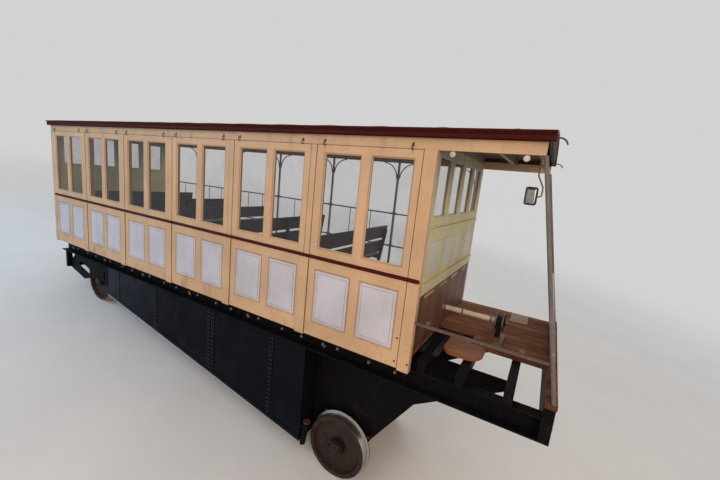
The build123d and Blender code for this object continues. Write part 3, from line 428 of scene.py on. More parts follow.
def varnished(wood, board=0.5, scratches=0.3, grain_way=UPRIGHT, grooves=()):
    """Varnished boards: grain along the board, a different tone to each, darker knots, pale scratches,
    and dark grooves across each bay where it has any."""
    across = wood.axes()[1]
    grain = wood.noise(75.0, 5.0, 0.62, grain_way, 0.5)
    figure = wood.noise(13.0, 3.0, 0.5, grain_way, 1.2)
    each = ((across + BOARD_DATUM) / board).shuffled()
    wood.vary(each, 0.62, 1.35)
    wood.coat(grain.rise(0.42, 0.62) * 0.55, 0.35)
    wood.coat(figure.rise(0.55, 0.80) * 0.45, 1.8)
    scuff = wood.noise(120.0, 2.0, 0.5, (0.12, 0.5, 1.0)).rise(0.66, 0.74) * scratches
    wood.coat(scuff, 3.6)
    worn = wood.edges(0.004) * wood.noise(30.0, 3.0).rise(0.42, 0.62) * 0.6
    wood.coat(worn, 2.6)
    if grooves:
        wood.coat(wood.seams(grooves, 0.005, CABIN_END) * 0.85, 0.12)
    wood.surface(Roughness=0.40 + grain * 0.2 + scuff * 0.4,
                 Normal=wood.bump(grain, 0.0008, 0.5, 0.003), Specular_IOR_Level=0.22)


def worn_planks(wood, width, start):
    """Bare floor planks: a tone to each, dirt in patches, dirty at the seams, with deep grain."""
    dirty, seam_dark = (0.072, 0.033, 0.018), (0.03, 0.02, 0.015)
    grain = wood.noise(90.0, 5.0, 0.65, (0.045, 1.0, 1.0), 0.4)
    dirt = wood.noise(6.0, 5.0, 0.6)
    lane = (wood.axes()[1] - start) / width
    seam = abs((lane % 1.0) - 0.5).rise(0.40, 0.49)
    wood.vary(lane.shuffled(), 0.68, 1.25)
    wood.coat(grain.rise(0.40, 0.64) * 0.45, 0.34)
    wood.coat(dirt.rise(0.42, 0.68) * 0.5, dirty)
    wood.coat(seam * 0.6, seam_dark)
    wood.surface(Roughness=0.66 + dirt * 0.2,
                 Normal=wood.bump(grain, 0.0016, 0.7, 0.003), Specular_IOR_Level=0.08)


def black_iron(iron, rust=0.5, damp=0.0, streaks=0.4, painted_sheen_span=None):
    """Painted iron: blistered rust, pale dust on it, damp patches that shine and water streaks, and a pale
    bluish painted sheen that grows between two places along the car."""
    rusty, streaked = (0.034, 0.014, 0.0075), (0.018, 0.019, 0.022)
    # The tone named dust here is the pale bluish colour of the painted sheen
    dust, worn_edge = (0.026, 0.034, 0.044), (0.060, 0.040, 0.030)
    patch = iron.noise(5.5, 6.0, 0.65)
    fine = iron.noise(60.0, 4.0, 0.7)
    wet = iron.noise(2.2, 4.0, 0.6, (1.0, 1.0, 0.6))
    run = iron.noise(34.0, 3.0, 0.55, (1.0, 1.0, 0.05))
    bloom = patch.rise(0.55, 0.72) * fine.rise(0.35, 0.62) * rust
    iron.coat(fine.rise(0.4, 0.8) * 0.5, 2.0)
    iron.coat(bloom, rusty)
    iron.coat(run.rise(0.58, 0.72) * streaks * 0.5, streaked)
    # Painted sheen: a pale bluish tone that grows between two places along the car, in patches
    if painted_sheen_span:
        iron.coat(iron.axes()[0].rise(*painted_sheen_span) * (0.25 + patch * 0.6), dust)
    wear = iron.edges(0.004) * fine.rise(0.42, 0.64)
    iron.coat(wear * 0.4, worn_edge)
    shine = wet.rise(0.42, 0.62) * damp
    iron.surface(Roughness=(0.60 + bloom * 0.3 - shine * 0.30).most(0.12),
                 Metallic=wear * 0.4, Normal=iron.bump(fine * 0.5 + bloom, 0.0009, 0.6, 0.004),
                 Specular_IOR_Level=0.04)


def wheel_iron(iron, centre):
    """Cast iron wheels: rusty web, greasy hub, and a bright ring where the tread and flange run."""
    web_rust, pits = (0.042, 0.021, 0.013), (0.010, 0.009, 0.009)
    grease_dark, bright = (0.006, 0.006, 0.006), (0.46, 0.44, 0.41)
    ahead, aside, above = iron.split(iron.node("ShaderNodeTexCoord", out="Object"))
    across = abs(aside)
    reach = ((ahead - centre[0]) ** 2.0 + (above - centre[2]) ** 2.0) ** 0.5
    patch = iron.noise(7.0, 6.0, 0.65)
    fine = iron.noise(70.0, 3.0, 0.7)
    iron.coat(patch.rise(0.35, 0.70), web_rust)
    iron.coat(fine.rise(0.5, 0.8) * 0.6, pits)
    grease = reach.rise(0.17, 0.09) * across.rise(0.45, 0.60)
    iron.coat(grease * 0.85, grease_dark)
    tread = reach.rise(0.379, 0.384) * across.rise(0.695, 0.705) * across.rise(0.812, 0.800)
    iron.coat(tread * (0.75 + fine * 0.25), bright)
    iron.surface(Metallic=tread * 0.95, Roughness=0.78 - tread * 0.48 - grease * 0.3,
                 Normal=iron.bump(fine * 0.4 + patch * 0.6, 0.0012, 0.6, 0.004),
                 Specular_IOR_Level=0.3)


def metal_paint(paint, chips=0.5, gloss=0.42, under=(0.10, 0.055, 0.035)):
    """Paint on bar and tube, chipped to the metal under it, with hand dirt."""
    cloud = paint.noise(6.0, 4.0)
    chip = paint.noise(46.0, 5.0, 0.7).rise(0.63, 0.67) * chips
    paint.vary(cloud.rise(0.3, 0.7), 0.78, 1.12)
    paint.coat(chip, under)
    paint.surface(Roughness=gloss + cloud * 0.15 + chip * 0.3,
                  Normal=paint.bump(cloud * 0.5 - chip * 0.5, 0.0006, 0.7, 0.002))


def bare_metal(metal, rough, tarnish=0.7, metallic=0.9):
    """Bare or plated metal with tarnish and fine scratches."""
    lines = metal.noise(160.0, 2.0, 0.5, (0.1, 1.0, 1.0))
    spots = metal.noise(22.0, 5.0, 0.65).rise(0.48, 0.72) * tarnish
    metal.coat(spots, 0.35)
    metal.surface(Metallic=metallic - spots * 0.4, Roughness=rough + spots * 0.35 + lines * 0.08,
                  Normal=metal.bump(lines, 0.0002, 0.5, 0.002))


def fixing_metal(metal, bright):
    """Round screen fixings: dusty bright metal up at the frieze, dull brass down at the foot rail."""
    cloud = metal.noise(40.0, 4.0, 0.65)
    metal.coat(metal.axes()[2].rise(0.2, 0.6), bright)
    metal.coat(cloud.rise(0.45, 0.70) * 0.5, 0.5)
    metal.surface(Metallic=0.35, Roughness=0.45 + cloud * 0.25, Normal=metal.bump(cloud, 0.0003, 0.5, 0.002))


def clear_pane(pane, veil, scuffs, sheen):
    """A clear pane: seen straight through it is nearly nothing, aslant it takes a sheen, and dust and
    wiping marks show as a pale veil."""
    facing = pane.node("ShaderNodeLayerWeight", None, {"Blend": 0.35}, out="Facing")
    smear = pane.noise(3.2, 4.0, 0.6, (1.0, 1.0, 0.6), 0.8)
    lines = pane.noise(85.0, 3.0, 0.6, (1.0, 1.0, 0.12))
    dust = smear.rise(0.40, 0.75) * scuffs + lines.rise(0.60, 0.75) * scuffs * 0.5
    veiled = facing ** 3.0 * sheen + dust + veil
    pane.surface(Roughness=0.10 + dust * 0.6, Alpha=veiled.least(0.9), Specular_IOR_Level=0.7)


def ceiling_boards(sheet, colour, width, patch):
    """The colour of boards across a ceiling: a tone to each, stains and a dark line between them."""
    lane = (sheet.axes()[1] + BOARD_DATUM) / width
    tone = sheet.blend(lane.shuffled(), shade(colour, 0.75), shade(colour, 1.2))
    tone = sheet.blend(patch.rise(0.35, 0.70) * 0.5, tone, shade(colour, 0.5))
    return sheet.blend(abs(lane % 1.0 - 0.5).rise(0.45, 0.49) * 0.8, tone, shade(colour, 0.15))


def roof_sheet(sheet, boards, board_width):
    """Weathered painted sheet with rain runs from the crown to the eaves, lichen and patches, and
    ceiling boards where it faces down."""
    lichen_tone = (0.30, 0.31, 0.24)
    patch = sheet.noise(2.4, 6.0, 0.62)
    run = sheet.noise(16.0, 4.0, 0.6, (1.0, 0.10, 1.0))
    lichen = sheet.cells(34.0).rise(0.30, 0.10) * sheet.noise(3.0, 3.0).rise(0.52, 0.62)
    sheet.vary(patch.rise(0.3, 0.7), 0.70, 1.30)
    sheet.coat(run.rise(0.50, 0.70) * 0.45, 0.40)
    sheet.coat(lichen * 0.35, lichen_tone)
    under = sheet.split(sheet.node("ShaderNodeNewGeometry", out="Normal"))[2].rise(-0.1, -0.4)
    sheet.coat(under, ceiling_boards(sheet, boards, board_width, patch))
    sheet.surface(Roughness=0.66 + patch * 0.2,
                  Normal=sheet.bump(patch * 0.7 + run * 0.3, 0.0015, 0.5, 0.003))


def pale_floor(sky_tint, sky_light):
    """Pale studio floor that fades with its distance from the car into the light of the sky."""
    dull, pale = (0.66, 0.655, 0.64), (0.70, 0.695, 0.68)
    near, far = 7.0, 24.0
    floor = Finish("pale_floor", dull)
    spot = floor.node("ShaderNodeTexCoord", out="Object")
    reach = floor.node("ShaderNodeVectorMath", {"operation": "LENGTH"}, {0: spot}, out="Value")
    cloud = floor.noise(0.8, 4.0)
    floor.coat(cloud.rise(0.3, 0.7), pale)
    floor.surface(Roughness=0.75 + cloud * 0.1, Normal=floor.bump(floor.noise(30.0, 3.0), 0.001, 0.3))
    glow = floor.node("ShaderNodeEmission", None, {"Color": sky_tint, "Strength": sky_light})
    lit = Value(floor, floor.shader.outputs[0])
    mixed = floor.node("ShaderNodeMixShader", None, {0: reach.rise(near, far), 1: lit, 2: glow})
    floor.tree.links.new(mixed.socket, floor.tree.nodes["Material Output"].inputs["Surface"])
    return floor.material


def finish_plans(colours):
    """Each finish by the record's slot name or the name of a node or piece: its maker, its colour and
    what else the maker takes."""
    return {
        "cream_paint": (painted_wood, colours.cream, dict(framing=True, painted_roof_shade=(1.17, 1.31, 0.26), rim_dirt_and_shade=(
            (PANEL_FRAMES, -0.003, 0.006, 0.8), (WINDOW_FRAMES, -0.004, 0.006, 0.65)))),
        "pale_panel": (painted_wood, colours.lilac, dict(grime_and_shade=0.8, gloss=0.38, rim_dirt_and_shade=(
            (PANEL_FRAMES, 0.009, 0.006, 0.95), (PANEL_FRAMES, FIELD_SLOPE, 0.005, 0.80)))),
        "end_inset_panels": (painted_wood, (0.46, 0.465, 0.385), dict(grime_and_shade=1.2, gloss=0.38)),
        "bulkhead_cream": (painted_wood, colours.bulkhead, dict(
            grime_and_shade=1.3, streak=(1.0, 0.08, 1.0), painted_roof_shade=(0.50, 1.20, 0.62))),
        "maroon_paint": (gloss_paint, colours.maroon, {}),
        "varnished_board": (varnished, colours.varnish, dict(board=0.148, scratches=0.35)),
        "foot_board": (varnished, (0.235, 0.092, 0.036), dict(board=0.60, grain_way=LENGTHWISE)),
        "bench_wood": (varnished, (0.046, 0.022, 0.012), dict(
            board=0.30, scratches=0.2, grain_way=LENGTHWISE)),
        "bench_seats": (varnished, (0.052, 0.025, 0.013), dict(board=0.30, grooves=SEAT_GROOVES)),
        "roof_carlines": (varnished, (0.150, 0.105, 0.072), dict(scratches=0.2)),
        "drum_timber": (varnished, (0.29, 0.155, 0.095), {}),
        "pale_timber": (varnished, (0.42, 0.27, 0.15), dict(grain_way=LENGTHWISE)),
        "floor_plank": (worn_planks, colours.plank, dict(
            width=PLANK_PITCH, start=platform_low[1] - 0.0025)),
        "roof_sheet": (roof_sheet, colours.roofing, dict(boards=(0.165, 0.120, 0.085), board_width=0.11)),
        "window_glass": (clear_pane, (0.066, 0.074, 0.082), dict(veil=0.145, scuffs=0.05, sheen=0.36)),
        "clear_sheet": (clear_pane, (0.40, 0.34, 0.28), dict(veil=0.005, scuffs=0.022, sheen=0.018)),
        "black_iron": (black_iron, colours.iron, dict(rust=0.65, damp=0.3)),
        "tank_plate": (black_iron, colours.tank, dict(rust=0.25, damp=1.0, streaks=0.5, painted_sheen_span=(3.4, 1.5))),
        "grey_paint": (metal_paint, (0.36, 0.35, 0.32), dict(chips=0.8)),
        "front_posts": (metal_paint, (0.115, 0.098, 0.084), dict(
            chips=0.9, gloss=0.38, under=(0.34, 0.31, 0.27))),
        "screen_foot_rail": (metal_paint, (0.090, 0.050, 0.034), dict(
            chips=0.9, gloss=0.5, under=(0.36, 0.26, 0.18))),
        "brake_shaft": (metal_paint, (0.60, 0.50, 0.37), dict(gloss=0.4)),
        "mirror_arm": (metal_paint, (0.13, 0.075, 0.055), {}),
        "far_columns": (metal_paint, (0.47, 0.385, 0.32), {}),
        "column_paint": (metal_paint, (0.23, 0.175, 0.135), {}),
        "guard_red": (metal_paint, (0.125, 0.034, 0.024), dict(chips=0.4)),
        "rivet_iron": (metal_paint, (0.015, 0.016, 0.020), dict(
            chips=0.7, gloss=0.45, under=(0.070, 0.048, 0.036))),
        "rusty_bolt": (metal_paint, (0.10, 0.060, 0.040), dict(
            chips=0.9, gloss=0.6, under=(0.26, 0.23, 0.20))),
        "hook_iron": (metal_paint, (0.050, 0.026, 0.017), dict(
            chips=0.9, gloss=0.5, under=(0.17, 0.060, 0.026))),
        "mirror_glass": (bare_metal, (0.012, 0.012, 0.013), dict(rough=0.35, tarnish=0.2, metallic=0.1)),
        "silvered": (bare_metal, (0.34, 0.35, 0.34), dict(rough=0.10, tarnish=0.5, metallic=1.0)),
        "worn_steel": (bare_metal, (0.50, 0.47, 0.43), dict(rough=0.34, tarnish=0.6)),
        "bolt_steel": (bare_metal, (0.36, 0.335, 0.31), dict(rough=0.40)),
        "drum_steel": (bare_metal, (0.15, 0.15, 0.15), dict(rough=0.42, metallic=0.5)),
        "screen_fixings": (fixing_metal, (0.105, 0.072, 0.046), dict(bright=(0.56, 0.47, 0.41))),
        **{name: (wheel_iron, (0.017, 0.012, 0.010), dict(centre=centre))
           for name, centre in WHEELSETS.items()},
    }


FINISHES = {}


def add_object(name, data):
    """A new object of the scene."""
    made = bpy.data.objects.new(name, data)
    bpy.context.scene.collection.objects.link(made)
    return made


def grid_quads(count, around, ring=False):
    """Four-sided faces of a grid of rows: each point, the one after it in its row, and the same two of
    the next row. In a ring the first row comes next after the last."""
    steps = count if ring else count - 1
    first = np.arange(steps)[:, None] * around + np.arange(around)
    after = np.roll(first, -1, 1)
    size = count * around
    return np.stack([first, after, (after + around) % size, (first + around) % size], -1).reshape(-1, 4)


def end_caps(count, around):
    """The two faces that close the first and last rows of a grid."""
    loop = np.arange(around)
    return np.stack([loop[::-1], loop + (count - 1) * around])


class Shell:
    """Closed surfaces gathered as whole arrays: points, four-sided faces and end caps. It becomes a
    mesh or a finished piece."""

    def __init__(self):
        self.points = []
        self.quads = []
        self.caps = []
        self.count = 0

    def add(self, points, quads, caps):
        """Points and their faces, which are numbered on from the points already held."""
        self.points.append(points.reshape(-1, 3))
        self.quads.append(quads.reshape(-1, 4) + self.count)
        self.caps.extend((cap + self.count).tolist() for cap in caps)
        self.count += points.size // 3

    def sheet(self, rows, ring=False):
        """A grid of rows, each a closed loop, joined row to row. The first and last rows are capped,
        or in a ring the last joins the first."""
        count, around = rows.shape[:2]
        self.add(rows, grid_quads(count, around, ring), () if ring else end_caps(count, around))

    def copies(self, rows, places, basis=np.eye(3)):
        """The same capped grid at many places: each place plus the grid's points times its basis."""
        count, around = rows.shape[:2]
        moved = places[:, None, :] + rows.reshape(-1, 3) @ basis
        offsets = (np.arange(len(places)) * count * around)[:, None, None]
        caps = (end_caps(count, around) + offsets).reshape(-1, around)
        self.add(moved, grid_quads(count, around) + offsets, caps)

    def hoop(self, profile, sides, place, basis):
        """A closed profile turned about an axis at a place: the place plus the ring's points times
        its basis."""
        self.sheet(np.array(place) + ring_rows(profile, sides) @ basis, ring=True)

    def framed(self, rect, profile, face):
        """A moulding mitred round a rectangle: for each (inset, proud) of the profile, the rectangle
        drawn in by the inset and raised by proud from a face, which turns (left, up, out) into body
        axes."""
        left, right, foot, head = rect
        inset, proud = np.asarray(profile, float).T
        corners = np.array([[left, foot], [right, foot], [right, head], [left, head]])
        inward = np.array([[1, 1], [-1, 1], [-1, -1], [1, -1]])
        flat = corners[:, None, :] + inward[:, None, :] * inset[None, :, None]
        self.sheet(face(flat[..., 0], flat[..., 1], np.broadcast_to(proud, flat.shape[:2])), ring=True)

    def mesh(self, name, material, in_body=False):
        """All that is held, as a mesh with one material, turned from the body's axes to the frame's
        when it is in them."""
        points = np.concatenate(self.points)
        if in_body:
            points = CORNER + points @ BODY_AXES
        mesh = bpy.data.meshes.new(name)
        mesh.from_pydata(points.tolist(), [], np.concatenate(self.quads).tolist() + self.caps)
        mesh.materials.append(material)
        return mesh

    def piece(self, name, finish, body=CAR, in_body=True, smooth=False):
        """The finished object: faces made to point outwards, its finish given, and riding on its
        body."""
        mesh = self.mesh(name, FINISHES[finish], in_body)
        shape = bmesh.new()
        shape.from_mesh(mesh)
        bmesh.ops.recalc_face_normals(shape, faces=shape.faces)
        shape.to_mesh(mesh)
        shape.free()
        mesh.polygons.foreach_set("use_smooth", np.full(len(mesh.polygons), smooth))
        if smooth:
            mesh.set_sharp_from_angle(angle=radians(38.0))
        made = add_object(name, mesh)
        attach(made, body)


def ring_rows(profile, sides):
    """Surface of revolution about the third axis: a row of points at each (radius, height) of the
    profile, at radius times the cosine and sine of evenly spaced angles."""
    turn = 2 * pi * np.arange(sides) / sides
    radius, height = np.asarray(profile, float).T
    return np.stack([radius[:, None] * np.cos(turn), radius[:, None] * np.sin(turn),
                     np.repeat(height[:, None], sides, 1)], -1)


def dome_profile(radius, height, rings=3):
    """A rivet's head: a quarter of an ellipse turned about its axis, from the plate to its crown."""
    angle = np.linspace(0.0, 0.47 * pi, rings)
    return np.stack([radius * np.cos(angle), height * np.sin(angle)], -1)


def bolt_rows(radius, height):
    """A six-sided washer and bolt head with a slight bevel and a flat crown, turned about its axis."""
    washer = 0.18 * height
    return ring_rows(((1.5 * radius, 0.0), (1.5 * radius, washer), (radius, washer),
                      (radius, 0.85 * height), (0.88 * radius, height)), 6)


def facing_basis(outward, upright=(0.0, 0.0, 1.0)):
    """Rows of axes that turn a surface about the third axis to stand on a face whose normal is outward."""
    normal = np.asarray(outward, float)
    normal = normal / np.linalg.norm(normal)
    side = np.cross(upright, normal)
    side = side / np.linalg.norm(side)
    return np.array([side, np.cross(normal, side), normal])


NEAR = facing_basis((0, -1, 0))
FAR = facing_basis((0, 1, 0))
DOWNHILL = facing_basis((1, 0, 0))
UPHILL = facing_basis((-1, 0, 0))
SKYWARD = facing_basis((0, 0, 1), (1, 0, 0))
SIDES = ((-1, NEAR), (1, FAR))


def grid_places(*axes):
    """Every mix of the given along, across and above values, as rows of points."""
    mixed = np.meshgrid(*[np.atleast_1d(np.asarray(axis, float)) for axis in axes], indexing="ij")
    return np.stack(mixed, -1).reshape(-1, 3)


def box_loop(width, depth, corner, steps=3):
    """A rectangle with rounded corners, as a loop: a quarter circle of the corner's radius about each
    inner corner."""
    angle = np.linspace(0.0, pi / 2, steps)
    quarters = []
    for turn, (sx, sy) in enumerate(((1, 1), (-1, 1), (-1, -1), (1, -1))):
        middle = np.array([sx * (width / 2 - corner), sy * (depth / 2 - corner)])
        swing = angle + turn * pi / 2
        quarters.append(middle + corner * np.stack([np.cos(swing), np.sin(swing)], -1))
    return np.concatenate(quarters)


def half_round(face, level, proud, half):
    """A half round section as (across, above): it stands proud of the face by the sine of a half turn,
    and goes half its height up and down from the level by the cosine."""
    swing = np.radians(np.linspace(0.0, 180.0, 7))
    return np.stack([face + proud * np.sin(swing), level + half * np.cos(swing)], -1)


def bar_rows(loop, start, end, ease=0.0):
    """A loop of (across, above) carried along from start to end, drawn in by ease at its two ends."""
    stations = [(start, loop), (end, loop)]
    if ease:
        middle = loop.mean(0)
        small = middle + (loop - middle) * (1 - ease / np.abs(loop - middle).max(0))
        stations = [(start, small), (start + ease, loop), (end - ease, loop), (end, small)]
    return np.stack([np.column_stack([np.full(len(ring), place), ring]) for place, ring in stations])


def board_rows(low, high, ease=0.003):
    """A board between two corners, with its edges eased: a rounded rectangle carried along."""
    low, high = np.asarray(low, float), np.asarray(high, float)
    loop = box_loop(high[1] - low[1], high[2] - low[2], ease) + (low[1:] + high[1:]) / 2
    return bar_rows(loop, low[0], high[0], ease)


def bead_section(bed, width, steps):
    """A bead as (inset, proud) points: its foot on the bed, the steps, and its foot again."""
    return ((0.0, SEAT - bed), *steps, (width, SEAT - bed))


def near_face(level):
    """Places (along, up, out) on the near wall at a distance across."""
    return lambda along, up, out: np.stack([along, level - out, up], -1)


def end_face(level, way):
    """Places (across, up, out) on an end wall at a distance along, facing uphill or downhill."""
    return lambda across, up, out: np.stack([level + way * out, across, up], -1)


def tube_rows(path, radius, normal, sides=8):
    """A round section carried along a path that lies in a plane: at each point the section stands in the
    plane's normal and in the cross product of the path's direction with the normal."""
    path = np.asarray(path, float)
    way = np.gradient(path, axis=0)
    way /= np.linalg.norm(way, axis=1)[:, None]
    normal = np.asarray(normal, float)
    side = np.cross(way, normal)
    turn = (2 * pi * np.arange(sides) / sides)[:, None]
    return path[:, None, :] + radius * (np.cos(turn) * side[:, None, :] + np.sin(turn) * normal)


def arc(centre, radius, start, end, first, second, steps=9):
    """Points at the centre plus the radius times the cosine along one axis and the sine along another."""
    swing = np.radians(np.linspace(start, end, steps))[:, None]
    turned = np.cos(swing) * np.asarray(first, float) + np.sin(swing) * np.asarray(second, float)
    return np.asarray(centre, float) + radius * turned


class CAR_OT_finishes(bpy.types.Operator):
    """Makes the materials and gives each CAD node its own"""
    bl_idname = "funicular.finishes"
    bl_label = "Finishes"

    def execute(self, context):
        for name, (maker, colour, rest) in finish_plans(context.scene.car_colours).items():
            finish = Finish(name, colour)
            maker(finish, **rest)
            FINISHES[name] = finish.material
        for row in frame["record"]["subparts"]:
            finish = FINISHES.get(row["node"]) or FINISHES[row["material_slot"]]
            mesh = frame["nodes"][row["node"]].data
            if not mesh.materials:
                mesh.materials.append(finish)
            for index in range(len(mesh.materials)):
                mesh.materials[index] = finish
        return {"FINISHED"}


class CAR_OT_wall_mouldings(bpy.types.Operator):
    """Adds the near wall's beads round panes and panels and under its frieze, and the belt's round end"""
    bl_idname = "funicular.wall_mouldings"
    bl_label = "Wall mouldings"

    def execute(self, context):
        width = context.scene.car_sizes.glazing_bead
        pane_bead = bead_section(GLASS_DEPTH, width, (
            (0.0, -0.004), (width * 0.35, -0.0045), (width * 0.8, -0.009), (width, -0.013)))
        width = context.scene.car_sizes.panel_bead
        panel_bead = bead_section(PANEL_DEPTH, width, (
            (0.0, 0.0012), (width * 0.3, 0.0016), (width * 0.75, -0.0012), (width, -0.0045)))
        face = near_face(NEAR_FACE)
        beads = Shell()
        for bay in BAYS:
            for frames, bead in ((WINDOW_FRAMES, pane_bead), (PANEL_FRAMES, panel_bead)):
                for left, right, foot, head in frames:
                    beads.framed((bay + left, bay + right, foot, head), bead, face)
        beads.piece("wall_beads", "cream_paint")

        radius, gap, post = 0.006, 0.002, 0.077
        section = half_round(NEAR_FACE, FRIEZE_FOOT + radius, -0.0055, radius)
        rail = Shell()
        for bay in BAYS:
            rail.sheet(bar_rows(section, bay + gap, bay + BAY_PITCH - post))
        rail.piece("frieze_bead", "cream_paint")

        low, high = body_box("belt_moulding")
        radius, sunk = (high[2] - low[2]) / 2, 0.0004
        place = np.array([[high[0] - sunk, low[1] + radius, low[2] + radius]])
        end = Shell()
        end.copies(ring_rows(dome_profile(radius, radius, 7), 24), place, DOWNHILL)
        end.piece("belt_end", "maroon_paint", smooth=True)
        return {"FINISHED"}


class CAR_OT_roof_board_beads(bpy.types.Operator):
    """Adds two half round beads along each of the roof's side boards, at its foot and above"""
    bl_idname = "funicular.roof_board_beads"
    bl_label = "Roof board beads"

    def execute(self, context):
        short = 0.03
        beads = Shell()
        for side, _ in SIDES:
            for height, radius in ((0.009, 0.008), (0.055, 0.005)):
                section = half_round(side * FASCIA_FACE, fascia_low[2] + height, side * radius, radius)
                beads.sheet(bar_rows(section, fascia_low[0] + short, fascia_high[0] - short))
        beads.piece("roof_board_beads", "maroon_paint", smooth=True)
        return {"FINISHED"}


class CAR_OT_hooks(bpy.types.Operator):
    """Adds the curtain hooks under the roof boards, each on a plate with four screws below it"""
    bl_idname = "funicular.hooks"
    bl_label = "Curtain hooks"

    def execute(self, context):
        drop = context.scene.car_sizes.hook_drop
        wire, bend, reach = 0.0042, 0.010, 0.016
        shank = [[0.0, -0.002, 0.0], [0.0, -0.010, 0.0], [0.0, -reach, -0.004], [0.0, -reach - bend, -0.016]]
        curl = arc((0.0, -reach, bend - drop), bend, 0.0, -200.0, (0, -1, 0), (0, 0, 1))
        places = grid_places((BAYS[:, None] + HOOK_SPOTS).ravel(), NEAR_FACE, HOOK_LEVEL)
        hooks = Shell()
        hooks.copies(tube_rows(np.concatenate([shank, curl]), wire, (1, 0, 0)), places)
        hooks.copies(board_rows((-0.011, -0.0025, -0.017), (0.011, 0.0, 0.017), 0.001), places)
        screw = ring_rows(dome_profile(0.0042, 0.0022), 8)
        for along, above in ((-0.006, -0.034), (0.006, -0.030), (-0.005, -0.046), (0.007, -0.044)):
            hooks.copies(screw, places + (along, -0.0002, above), NEAR)
        hooks.piece("curtain_hooks", "hook_iron", smooth=True)
        return {"FINISHED"}


class CAR_OT_sill_bolts(bpy.types.Operator):
    """Adds the bolts along both side sills and the downhill headstock, and at the feet of two posts"""
    bl_idname = "funicular.sill_bolts"
    bl_label = "Sill bolts"

    def execute(self, context):
        web = 0.922
        steps = np.array([0.163, 0.186, 0.367, 0.778, 1.092])
        along = (BAYS[:, None] + steps).ravel()
        above = np.tile([-1.065, -1.085, -1.055, -1.070, -1.070], BAY_COUNT)
        bolt = bolt_rows(context.scene.car_sizes.bolt_radius, 0.016)
        bolts = Shell()
        for side, basis in SIDES:
            bolts.copies(bolt, np.column_stack([along, np.full(along.size, side * web), above]), basis)
        front = grid_places(platform_high[0], (-0.90, -0.60, -0.20, 0.20, 0.60, 0.90), (-0.86, -1.05))
        bolts.copies(bolt, front, DOWNHILL)
        bolts.piece("sill_bolts", "bolt_steel")

        stud = bolt_rows(0.008, 0.009)
        feet = Shell()
        feet.copies(stud, grid_places(POST_SEAM - 0.03, NEAR_FACE, (-0.845, -0.60)), NEAR)
        feet.copies(stud, grid_places(post_high[0] - 0.018, post_low[1], -0.835), NEAR)
        feet.piece("post_foot_bolts", "rusty_bolt")
        return {"FINISHED"}


def above_rails(along, height):
    """Height in the body's axes of a place along the car that is so high above the rails."""
    return (height + (FLANGE_DEPTH - CORNER[2]) - along * sin(LEAN)) / cos(LEAN)


def tank_foot(along):
    """Height of the tank's foot at a place along it: a straight line from its uphill end to its
    downhill end."""
    start, end = tank_low[0], tank_high[0]
    uphill, downhill = above_rails(start, 0.330), above_rails(end, 0.215)
    return uphill + (along - start) / (end - start) * (downhill - uphill)


def strap_places(pitch):
    """Rivet places (along, above) on a side of the tank: an even pitch down both edges of each strap
    and along the sloping foot."""
    start, end = tank_low[0], tank_high[0]
    half_strap, under_sill, over_foot, foot_angle = 0.020, 0.070, 0.080, 0.034
    rows = []
    for strap in (start + 0.38, start + 1.55, start + 2.91, start + 2.99, end - 0.55):
        levels = np.arange(SILL_FOOT - under_sill, tank_foot(strap) + over_foot, -pitch)
        for side in (-half_strap, half_strap):
            rows.append(np.column_stack([np.full(levels.size, strap + side), levels]))
    along = np.arange(start + 0.03, end - 0.02, pitch)
    rows.append(np.column_stack([along, tank_foot(along) + foot_angle]))
    return np.concatenate(rows)


class CAR_OT_tank_rivets(bpy.types.Operator):
    """Adds the rivets of the water tank on its two sides and its ends, and a bright painted highlight line along
    its foot
    """
    bl_idname = "funicular.tank_rivets"
    bl_label = "Tank rivets"

    def execute(self, context):
        sizes = context.scene.car_sizes
        rivet = ring_rows(dome_profile(sizes.rivet_radius, 0.0055), 8)
        spots = strap_places(sizes.rivet_pitch)
        rivets = Shell()
        for side, basis in SIDES:
            places = np.column_stack([spots[:, 0], np.full(len(spots), side * tank_high[1]), spots[:, 1]])
            rivets.copies(rivet, places, basis)
        across = np.arange(-0.84, 0.85, sizes.rivet_pitch)
        for face, basis in ((tank_low[0], UPHILL), (tank_high[0], DOWNHILL)):
            for level in (tank_foot(face) + 0.05, SILL_FOOT - 0.07):
                rivets.copies(rivet, grid_places(face, across, level), basis)
        rivets.piece("tank_rivets", "rivet_iron", smooth=True)

        # A bright steel tube along the tank's foot: a painted highlight line
        radius, out, steps = 0.006, 0.001, 5
        along = np.linspace(tank_low[0] + radius, tank_high[0] - radius, steps)
        edge = Shell()
        for side, _ in SIDES:
            across = np.full(steps, side * (tank_high[1] + out))
            path = np.column_stack([along, across, tank_foot(along) + radius])
            edge.sheet(tube_rows(path, radius, (0, 1, 0)))
        edge.piece("tank_foot_highlight", "worn_steel", smooth=True)
        return {"FINISHED"}


class CAR_OT_frame_rivets(bpy.types.Operator):
    """Adds rivets to the tip plates, along the sill and up the seam beside the tank"""
    bl_idname = "funicular.frame_rivets"
    bl_label = "Frame rivets"

    def execute(self, context):
        rivet = ring_rows(dome_profile(context.scene.car_sizes.rivet_radius, 0.006), 8)
        low, high = body_box("tip_plates")
        along = np.arange(low[0] + 0.04, tank_low[0] - 0.03, 0.11)
        upward = np.arange(-1.75, -1.16, 0.075)
        rivets = Shell()
        for side, basis in SIDES:
            rivets.copies(rivet, grid_places(along, side * high[1], high[2] - 0.215), basis)
            rivets.copies(rivet, grid_places(tank_low[0] - 0.035, side * high[1], upward), basis)
        rivets.piece("frame_rivets", "rivet_iron", smooth=True)
        return {"FINISHED"}


